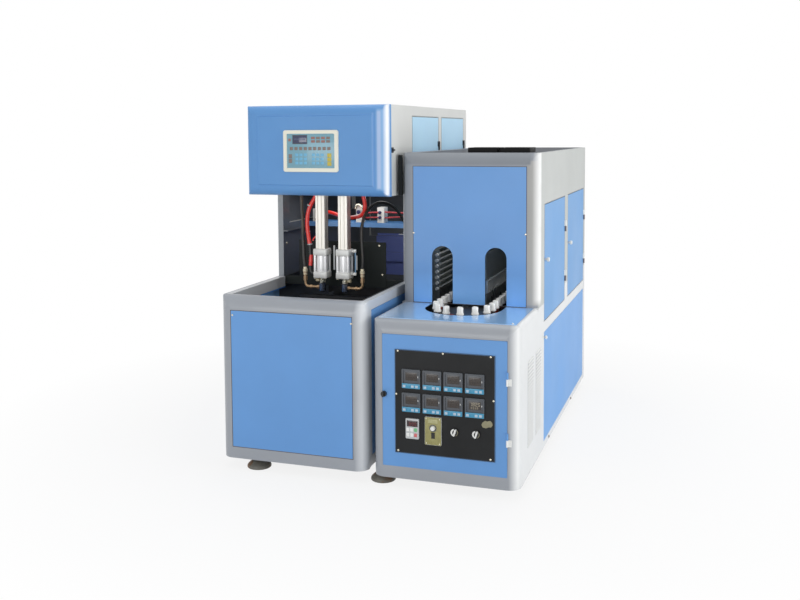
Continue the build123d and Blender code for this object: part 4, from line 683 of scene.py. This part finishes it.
def front_lip(left, right):
    """Plan points of a lip round a cabinet's two front corners, a hair inside its faces."""
    radius = nose_radius - hair
    return [
        (left + hair, lip_start),
        *arc(left + nose_radius, nose_radius, radius, 180, 270, 9),
        *arc(right - nose_radius, nose_radius, radius, 270, 360, 9),
    ]


for cabinet, right, rest, material in (
    (bench, bench.right, [(bench.right - hair, lip_start)], grey_paint_blow),
    (heater, tower.right, [(tower.right - hair, tower.back - 1), (tower.right - post, tower.back - 1),
                           (tower.right - post, lip_start)], grey_paint_heater),
):
    lips.plate(front_lip(cabinet.left, right) + rest, cabinet.bottom - 7, cabinet.bottom + 72, material,
               flat=True, rounding=7)
# A dark strip in the gap between the units: painted shade
lips.block((bench.right + 11, heater.left - 3), (tower.front + 7, tower.front + 30),
           (head.bottom + 1, tower.top - 11), 2, gap_shade_black)
lips.piece("lower_lips", "machine")

# Pale strips on the louvres in the heater's side: painted highlights of their lips

louvres = Shape()
louvre_count, louvre_pitch, half_louvre = 24, 16.7, 62
for y in (256, 453):
    for n in range(louvre_count):
        low = 185.6 + louvre_pitch * n
        # Painted highlight over each louvre
        louvres.block((tower.right - 1, tower.right + 3.4), (y - half_louvre, y + half_louvre),
                      (low, low + 3), 0.8, white_plastic)
louvres.piece("louvre_highlights", "machine")

# Levelling feet

feet = Shape()
foot_profile = [
    (0, 0), (55.5, 0), (58, 3), (58, 10), (54.5, 16), (46, 24), (37, 31), (29, 35), (14, 37), (13, 46),
    (9, 47),
]
for cabinet, places in (
    (bench, ((169, 66), (576, 320), (169, 1763), (576, 1763))),
    (heater, ((801, 86), (1347, 320), (889, 1964), (1347, 1964))),
):
    for x, y in places:
        feet.turned((x, y, 0), UP, foot_profile + [(9, cabinet.bottom)], olive, facets=48)
feet.piece("levelling_feet_cast", "machine", replaces=["levelling_feet"])

# A bare tag on the instrument board

board_sheet = sides("instrument_board")
board_face = board_sheet.front
tag = Shape()
tag.plate([
    (1292, 330), (1297, 319), (1312, 316), (1326, 322), (1334, 321), (1342, 331), (1340, 343), (1331, 351),
    (1318, 347), (1308, 349), (1297, 341),
], board_face - 1, board_face + 0.4, khaki)
tag.piece("blank_board_tag", "door")

# Selectors: a disc with a raised crescent, a pale rim and a lever

for side in ("left", "right"):
    x, _, z = centre(f"selector_{side}")
    selector = Shape()
    disc_profile = [(0, 0), (17, 0), (17, 6.8), (15.8, 8), (0, 8.2)]
    selector.turned((x, board_face - 0.3, z), FRONT, disc_profile, black_plastic, facets=48)
    crescent = arc(x, z, 16.6, 100, 270, 10) + arc(x + 5, z - 1, 14, 250, 120, -10)
    rim = arc(x, z, 16.6, -70, 40, 10) + arc(x, z, 14.6, 40, -70, -10)
    lever = [(x - 4.5, z - 14), (x + 1.5, z - 14), (x + 10.5, z + 12), (x + 8, z + 16), (x + 2.5, z + 15)]
    disc_face = board_face - 8
    selector.plate(crescent, disc_face - 3, disc_face, white_plastic)
    selector.plate(rim, disc_face - 1.5, disc_face, khaki)
    selector.plate(lever, disc_face - 11.5, disc_face, white_plastic)
    selector.piece(f"{side}_selector_handle", f"{side}_selector", [f"selector_{side}"])

# Meters of the instrument board

SEGMENTS = {"0": "abcdef", "1": "bc", "2": "abged", "3": "abgcd", "5": "afgcd", "8": "abcdefg"}


def digit(shape, x, z, y, height, figure, material):
    """One seven-segment figure with its lower left corner at x, z."""
    half, wide, bar = height / 2, height / 2, height * 0.09
    runs = {
        "a": (0, height, wide, height), "b": (wide, half, wide, height), "c": (wide, 0, wide, half),
        "d": (0, 0, wide, 0), "e": (0, 0, 0, half), "f": (0, half, 0, height), "g": (0, half, wide, half),
    }
    for name in SEGMENTS[figure]:
        x0, z0, x1, z1 = runs[name]
        shape.block((x + x0 - bar, x + x1 + bar), (y - 0.4, y + 0.4), (z + z0 - bar, z + z1 + bar), 0.2,
                    material, segments=1)


def meter(shape, x, z, figures, lit):
    """Displays, a strip of cells and a light on a square meter with its middle at x, z."""
    bezel = sides("panel_meters").front
    display, strip = bezel + 1.6, bezel - 1
    shape.block((x - 36, x + 36), (bezel + 2.8, bezel + 4.5), (z - 36.2, z + 36.2), 0.8, bezel_grey)
    shape.block((x - 27, x + 29), (display, display + 1.8), (z - 8, z + 29), 1.2, display_dark)
    for n, figure in enumerate(figures):
        digit(shape, x - 20 + 12 * n, z + 9, display, 14, figure, lit)
    for n in range(4):
        digit(shape, x - 16 + 9 * n, z - 4, display, 8, "8", lit)
    shape.block((x + 31, x + 34), (display + 0.2, display + 1.8), (z + 6, z + 14), 0.8, white_plastic)
    shape.block((x - 42, x + 42), (strip, strip + 1.6), (z - 43, z - 21), 0.8, strip_blue)
    for n in range(4):
        left = x - 38 + 19.5 * n
        cell = strip_blue if n == 1 else strip_cell
        shape.block((left, left + 13), (strip - 0.9, strip + 0.4), (z - 39, z - 28), 0.8, cell)


board = Shape()
meters_x, _, meters_z = centre("panel_meters")
column_pitch, row_pitch = 97.8, 107.5
for row in range(2):
    for column in range(4):
        x, z = meters_x + (column - 1.5) * column_pitch, meters_z + (row - 0.5) * row_pitch
        if row == 0 and column == 3:
            meter(board, x, z, "1825", digit_lit)
        else:
            meter(board, x, z, "0000", digit_dim)

# Pad of the chain's drive: display and keys

drive = sides("drive_controls")
pad_x, pad_face = drive.left + 31, drive.front - 1
board.block((pad_x - 30, pad_x + 30), (pad_face, pad_face + 1.5), (239, 329), 2.5, light_grey)
board.block((pad_x - 25, pad_x + 26), (pad_face - 1.2, pad_face + 0.6), (294, 322), 1.5, display_red)
for n, figure in enumerate("300"):
    digit(board, pad_x - 14 + 13 * n, 300, pad_face - 1.2, 13, figure, digit_red)
for z, last_key in ((280, key_green), (256, key_start)):
    for x, material in ((pad_x - 20, white_plastic), (pad_x - 2, white_plastic), (pad_x + 16, last_key)):
        board.block((x - 7, x + 7), (pad_face - 1.4, pad_face + 0.6), (z - 8, z + 8), 1.6, material)

# Gold plate with the speed dial and the rocker switch

gold_x = centre("rocker_switch")[0]
dial_z = centre("speed_knob")[2]
gold_face = drive.front - 1
for low_x, high_x, low_z, high_z in (
    (-37.5, -8.4, 219.5, 344.5), (8.4, 37.5, 219.5, 344.5), (-9, 9, 219.5, 248), (-9, 9, 276, 344.5),
):
    board.block((gold_x + low_x, gold_x + high_x), (gold_face, gold_face + 1.4), (low_z, high_z), 1.5, gold)
board.block((gold_x - 22, gold_x + 22), (gold_face - 0.5, gold_face + 0.4), (318, 336), 0.4, gold_label)
for x in (gold_x - 31, gold_x + 31):
    for z in (226, 338):
        screw(board, (x, gold_face, z), FRONT, 3, nickel)
dial_profile = [(16.5, 0), (16.5, 0.6), (12.5, 0.9), (12.2, 0.1)]
board.turned((gold_x, gold_face, dial_z), FRONT, dial_profile, bezel_grey, facets=40)
for n in range(11):
    turn = math.radians(-150 + 30 * n)
    x, z = gold_x + 19 * math.sin(turn), dial_z + 19 * math.cos(turn)
    board.block((x - 0.8, x + 0.8), (gold_face - 0.5, gold_face + 0.2), (z - 0.8, z + 0.8), 0.2, khaki)

# Screws of the instrument board, and a dark strip round its edge: painted shade of the recess it sits in

for x, z in ((905, 634), (1116, 634), (1333, 634), (897, 436), (1346, 440), (905, 177), (1332, 177)):
    screw(board, (x, board_face, z), FRONT, 4.8, nickel)
# Painted shade round the board's edge
front_frame(board, (board_sheet.left + 1.5, board_sheet.right - 1.5),
            (board_sheet.bottom + 1.5, board_sheet.top - 1.5), board_face, 3.5, 0.3, recess_shade_blue)
board.piece("board_instruments", "door")

# Hem of the control door

door_seam = Shape()
control_door, control_door_width = sides("control_door"), 572
front_frame(door_seam, (control_door.left, control_door.left + control_door_width),
            (control_door.bottom, control_door.top), heater.front, 2.2, 0.4, blue_paint)
door_seam.piece("control_door_hem", "door")

# Blowing hoses, which bend between the head and the seal nozzles

bending_hose("left_blowing_hose", [
    (190, 550, 1303), (190, 550, 1265), (193, 548, 1205), (199, 545, 1140), (200, 540, 1075),
    (205, 538, 1010), (207, 537, 955), (212.7, 537, 913), (212.7, 537, 890),
], 8, dark_hose, "blow_hose_left")
bending_hose("right_blowing_hose", [
    (714, 803, 1112), (697, 803, 1113), (683, 800, 1125), (668, 790, 1155), (647, 760, 1205),
    (616, 712, 1242), (580, 660, 1252), (549, 612, 1228), (531, 575, 1185), (525, 550, 1130),
    (528, 542, 1070), (533, 538, 1010), (537, 537, 955), (532.2, 537, 913), (532.2, 537, 890),
], 8, dark_hose, "blow_hose_right")

# Air hoses and thin tubes

air_hose_radius, thin_tube_radius = 10.5, 4.5
hose("left_air_hose", [
    (266, 562, 1303), (266, 562, 1284), (252, 561, 1262), (230, 560, 1225), (218, 557, 1175),
    (219, 553, 1120), (229, 549, 1068), (236, 546, 1030),
], air_hose_radius, red_hose, ["air_hoses"])
hose("left_air_hose_foot", [
    (236, 546, 1034), (239, 545, 1015), (243, 541, 960), (241, 538, 920), (243, 537, 893),
    (254, 537, 879), (274, 537, 879),
], 8.5, black_plastic)
hose("left_air_hose_cover", [
    (243.4, 543, 978), (243.4, 541, 950), (241, 538.5, 922),
], 9.8, red_hose)
hose("right_air_hose", [
    (518, 598, 1303), (518, 598, 1284), (523, 600, 1262), (526, 603, 1228), (514, 611, 1196),
    (488, 625, 1178), (452, 652, 1170), (410, 695, 1163), (350, 760, 1158), (290, 825, 1161),
    (225, 890, 1168), (160, 940, 1170), (106, 965, 1166),
], air_hose_radius, red_hose)
thin_tubes = (
    [(371, 968, 1160), (400, 952, 1167), (440, 948, 1171), (480, 951, 1171)],
    [(371, 968, 1136), (405, 952, 1141), (440, 948, 1143), (478, 951, 1143)],
    [(505, 965, 1141), (540, 950, 1144), (587, 948, 1148), (640, 952, 1151), (715, 962, 1154)],
    [(505, 965, 1173), (560, 958, 1171), (620, 955, 1171), (680, 956, 1174), (715, 960, 1176)],
)
for n, route in enumerate(thin_tubes):
    hose(f"thin_tube_{n + 1}", route, thin_tube_radius, dark_red)
hose("valve_link", [
    (275, 566, 1081), (262, 563, 1074), (251, 561, 1060), (247, 560, 1050),
], 3.5, red_hose)
hose("seal_port_tube", [
    (494, 537, 1001), (495, 537, 975), (495, 537, 920), (494, 537, 891),
], 3.6, blue_tube)

# Ports, sensors, valve fittings, clips and screws of the station

seal_x, seal_y, _ = centre("seal_cylinders")
fittings = Shape()
port_profile = [(0, 0), (7.5, 0), (7.5, 8), (6, 8.5), (6, 13), (0, 13)]
for z in (1006, 887):
    fittings.turned((472, seal_y, z), RIGHT, port_profile, cast_white, facets=6)
    fittings.block((483, 500), (529, 545), (z - 8, z + 8), 4, cast_white)
fittings.turned((503, 535, 909), UP, [(0, 0), (3.5, 0), (3.5, 74), (0, 74)], light_grey, facets=16)
fittings.block((366.5, 376.5), (548, 556), (902, 1030), 3, light_grey)
fittings.block((381.5, 385), (548, 554), (904, 1020), 1.5, bezel_grey)
small_plug = [(0, 0), (8.5, 0), (8.5, 10), (6.5, 13), (0, 13)]
large_plug = [(0, 0), (11, 0), (11, 10), (8, 13), (0, 13)]
for z in (1171, 1143):
    fittings.turned((481, 955, z), FRONT, small_plug, navy_port, facets=24)
fittings.turned((355, 955, 1171), FRONT, large_plug, navy_port, facets=24)
for x, z, material in ((112, 1171, brass), (114, 1150, khaki), (110, 1126, nickel)):
    fittings.block((x - 15, x + 14), (935, 953.5), (z - 8, z + 8), 3, material)
clip_profile = [(10.5, -3), (12.2, -3), (12.2, 3), (10.5, 3)]
for place, facing in (
    ((230, 560, 1236), (0.35, 0, 1)), ((222, 555, 1098), (-0.12, 0, 1)), ((236.5, 546, 1033), (-0.14, 0, 1)),
):
    fittings.turned(place, facing, clip_profile, light_grey)
for place, facing in (
    ((30, 700, 1014), RIGHT), ((715, 700, 1085), -RIGHT), ((584, guard.front, 1023), FRONT),
    ((600, guard.front, 870), FRONT), ((150, guard.front, 1023), FRONT),
):
    screw(fittings, place, facing, 6.5, nickel)
fittings.piece("station_fittings", "machine")
hose("valve_elbow", [
    (338, 948, 1188), (340, 948, 1206), (356, 948, 1214), (372, 948, 1206), (374, 948, 1186),
], 6.5, nickel)

# Seal cylinders: two heads, a barrel, four tie rods and their nuts

rod_offset, head_height, half_head = 29, 35, 37
seal_bottom, seal_top = sides("seal_cylinders").bottom, sides("seal_cylinders").top
barrel_bottom = seal_bottom + head_height - 1
nut_profile = [(0, 0), (6.5, 0), (6.5, 4), (0, 4.2)]
for number, x in ((1, seal_x - cylinder_pitch / 2), (2, seal_x + cylinder_pitch / 2)):
    cylinder = Shape()
    for low in (seal_bottom, seal_top - head_height):
        cylinder.block((x - half_head, x + half_head), (seal_y - half_head, seal_y + half_head),
                       (low, low + head_height), 6, cast_white, segments=3)
    cylinder.turned((x, seal_y, barrel_bottom), UP, [(30.5, 0), (30.5, 85)], polished, facets=64)
    for rod_x in (x - rod_offset, x + rod_offset):
        for rod_y in (seal_y - rod_offset, seal_y + rod_offset):
            cylinder.turned((rod_x, rod_y, barrel_bottom), UP, [(6.2, 0), (6.2, 85)], polished, facets=24)
            cylinder.turned((rod_x, rod_y, seal_bottom + 0.5), -UP, nut_profile, nickel, facets=6)
    replaced = ["seal_cylinders"] if number == 1 else []
    cylinder.piece(f"seal_cylinder_{number}", "machine", replaced)

# Unions between the blowing hoses and the elbows

for side, x, inward in (
    ("left", sides("blow_elbow_left").left + 11, 1), ("right", sides("blow_elbow_right").right - 11, -1),
):
    union = Shape()
    union.turned((x, seal_y, 872), UP, [
        (7.5, 0), (10.5, 1), (10.5, 12), (9.2, 13), (9.2, 17), (12.5, 18), (12.5, 30), (9.8, 32), (9.2, 42),
        (8.2, 43),
    ], union_cream, facets=24)
    union.turned((x + inward * 62, seal_y, 849), RIGHT * inward, [
        (6.5, 0), (9.5, 0.5), (9.5, 11), (8.5, 12), (8.5, 18), (6.5, 19),
    ], union_cream, facets=6)
    union.piece(f"{side}_hose_union", f"{side}_seal")

# Preform holders on the rollers of the chain, which runs round two wheels

TEETH, PITCH, PHASE = 12, 70.0, math.radians(7)
chain_x, front_wheel_y, _ = centre("front_wheel")
back_wheel_y = centre("back_wheel")[1]
straight_links = round((back_wheel_y - front_wheel_y) / PITCH)
ring = PITCH / (2 * math.sin(math.pi / TEETH))
stations = []
for facing, wheel_y in ((1, front_wheel_y), (-1, back_wheel_y)):
    for n in range(-TEETH // 4, TEETH // 4 + 1):
        turn = PHASE + n * math.tau / TEETH
        stations.append((chain_x + facing * ring * math.sin(turn), wheel_y - facing * ring * math.cos(turn)))
    x, y = stations[-1]
    stations += [(x, y + facing * n * PITCH) for n in range(1, straight_links)]
holders = Shape()
chain_top = sides("preform_chain").top
holder_profile = [
    (0, 0), (17.2, 0), (18, 1), (18, 7.5), (16.5, 9.5), (15.2, 13), (14.8, 33.5), (13.6, 36.6), (11.2, 38),
    (10.2, 36.5), (9.8, 26), (0, 25.5),
]
for x, y in stations:
    holders.turned((x, y, chain_top), UP, holder_profile, holder_white, facets=28)
holders.piece("chain_holders", "machine", replaces=["preform_holders"])

# Camera, as solved from the photograph

PHOTO_WIDTH, FOCAL_LENGTH = 800, 957.2
scene = bpy.context.scene
scene.view_settings.view_transform = "Standard"
camera_data = bpy.data.cameras.new("camera")
camera = bpy.data.objects.new("camera", camera_data)
bpy.context.collection.objects.link(camera)
camera_data.lens = FOCAL_LENGTH / PHOTO_WIDTH * camera_data.sensor_width
camera_data.shift_y = -0.1259
camera.location = at(2272.8, -4027.1, 1614.0)
yaw, pitch, roll = math.radians(18.58), math.radians(4.0), math.radians(-0.337)
aim = Matrix.Rotation(yaw, 4, "Z") @ Matrix.Rotation(math.pi / 2 - pitch, 4, "X")
camera.rotation_euler = (aim @ Matrix.Rotation(roll, 4, "Z")).to_euler()
scene.camera = camera

# Floor and world, which look white where the camera sees them

WHITE = (1, 1, 1, 1)


def backdrop_ray(tree):
    """One for a ray that sees the white backdrop itself: straight, by reflection or through glass."""
    path = tree.add("LightPath", {}).node.outputs
    seen = path["Is Camera Ray"]
    for ray in ("Is Glossy Ray", "Is Transmission Ray"):
        seen = tree.add("Math", {0: seen, 1: path[ray]}, operation="MAXIMUM")
    return seen


half_floor, shadow_reach, white_from, near_share = 30, 1.3, 2.6, 0.84
floor_corners = [(half_floor * x, half_floor * y, 0) for x, y in ((-1, -1), (1, -1), (1, 1), (-1, 1))]
floor_mesh = bpy.data.meshes.new("floor")
floor_mesh.from_pydata(floor_corners, [], [(0, 1, 2, 3)])
floor = bpy.data.objects.new("floor", floor_mesh)
bpy.context.collection.objects.link(floor)
floor_paint = bpy.data.materials.new("floor_paint")
floor_tree = Tree(floor_paint)
floor_shader = floor_tree.nodes["Principled BSDF"]
floor_tree.feed(floor_shader, {"Base Color": (0.8, 0.8, 0.8, 1), "Roughness": 0.9})
floor_place = floor_tree.add("TexCoord", {}, "Object")
reach = floor_tree.add("VectorMath", {0: floor_place}, "Value", operation="LENGTH")
fade = floor_tree.spread(reach, shadow_reach, white_from, near_share, 1.0)
white_share = floor_tree.product(fade, backdrop_ray(floor_tree))
floor_glow = floor_tree.add("Emission", {"Color": WHITE, "Strength": 1.0})
floor_look = floor_tree.add("MixShader", {0: white_share, 1: floor_shader.outputs[0], 2: floor_glow})
floor_tree.feed(floor_tree.nodes["Material Output"], {"Surface": floor_look})
floor_mesh.materials.append(floor_paint)

world = bpy.data.worlds.new("studio")
scene.world = world
sky_tree = Tree(world)
sky = sky_tree.nodes["Background"]
sky_tree.feed(sky, {"Color": (0.95, 0.97, 1.0, 1), "Strength": 0.56})
white_sky = sky_tree.add("Background", {"Color": WHITE, "Strength": 1.0})
sky_look = sky_tree.add("MixShader", {0: backdrop_ray(sky_tree), 1: sky.outputs[0], 2: white_sky})
sky_tree.feed(sky_tree.nodes["World Output"], {"Surface": sky_look})

# Lamps


def lamp(name, place, target, size, watts):
    """A rectangular lamp that faces its target; places are in metres in the row frame."""
    data = bpy.data.lights.new(name, "AREA")
    data.shape = "RECTANGLE"
    data.size, data.size_y = size
    data.energy = watts
    made = bpy.data.objects.new(name, data)
    made.location = place
    made.rotation_euler = (Vector(target) - Vector(place)).to_track_quat("-Z", "Y").to_euler()
    bpy.context.collection.objects.link(made)


lamp("key_right", (5.5, -0.6, 1.4), (0.2, 0, 0.8), (3.0, 2.4), 125)
lamp("fill_front", (-1.2, -6.0, 1.3), (0, 0, 0.75), (3.5, 2.2), 75)
lamp("top", (0, 0.2, 4.6), (0, 0, 0.8), (3.0, 3.0), 60)
lamp("station", at(380, 860, 1285), at(380, 800, 900), (0.5, 0.3), 1.1)
lamp("station_back", at(560, 1250, 1000), at(330, 1829, 640), (0.25, 0.2), 0.65)
lamp("oven", at(1118, 640, 1440), at(1118, 780, 900), (0.45, 0.3), 1.1)
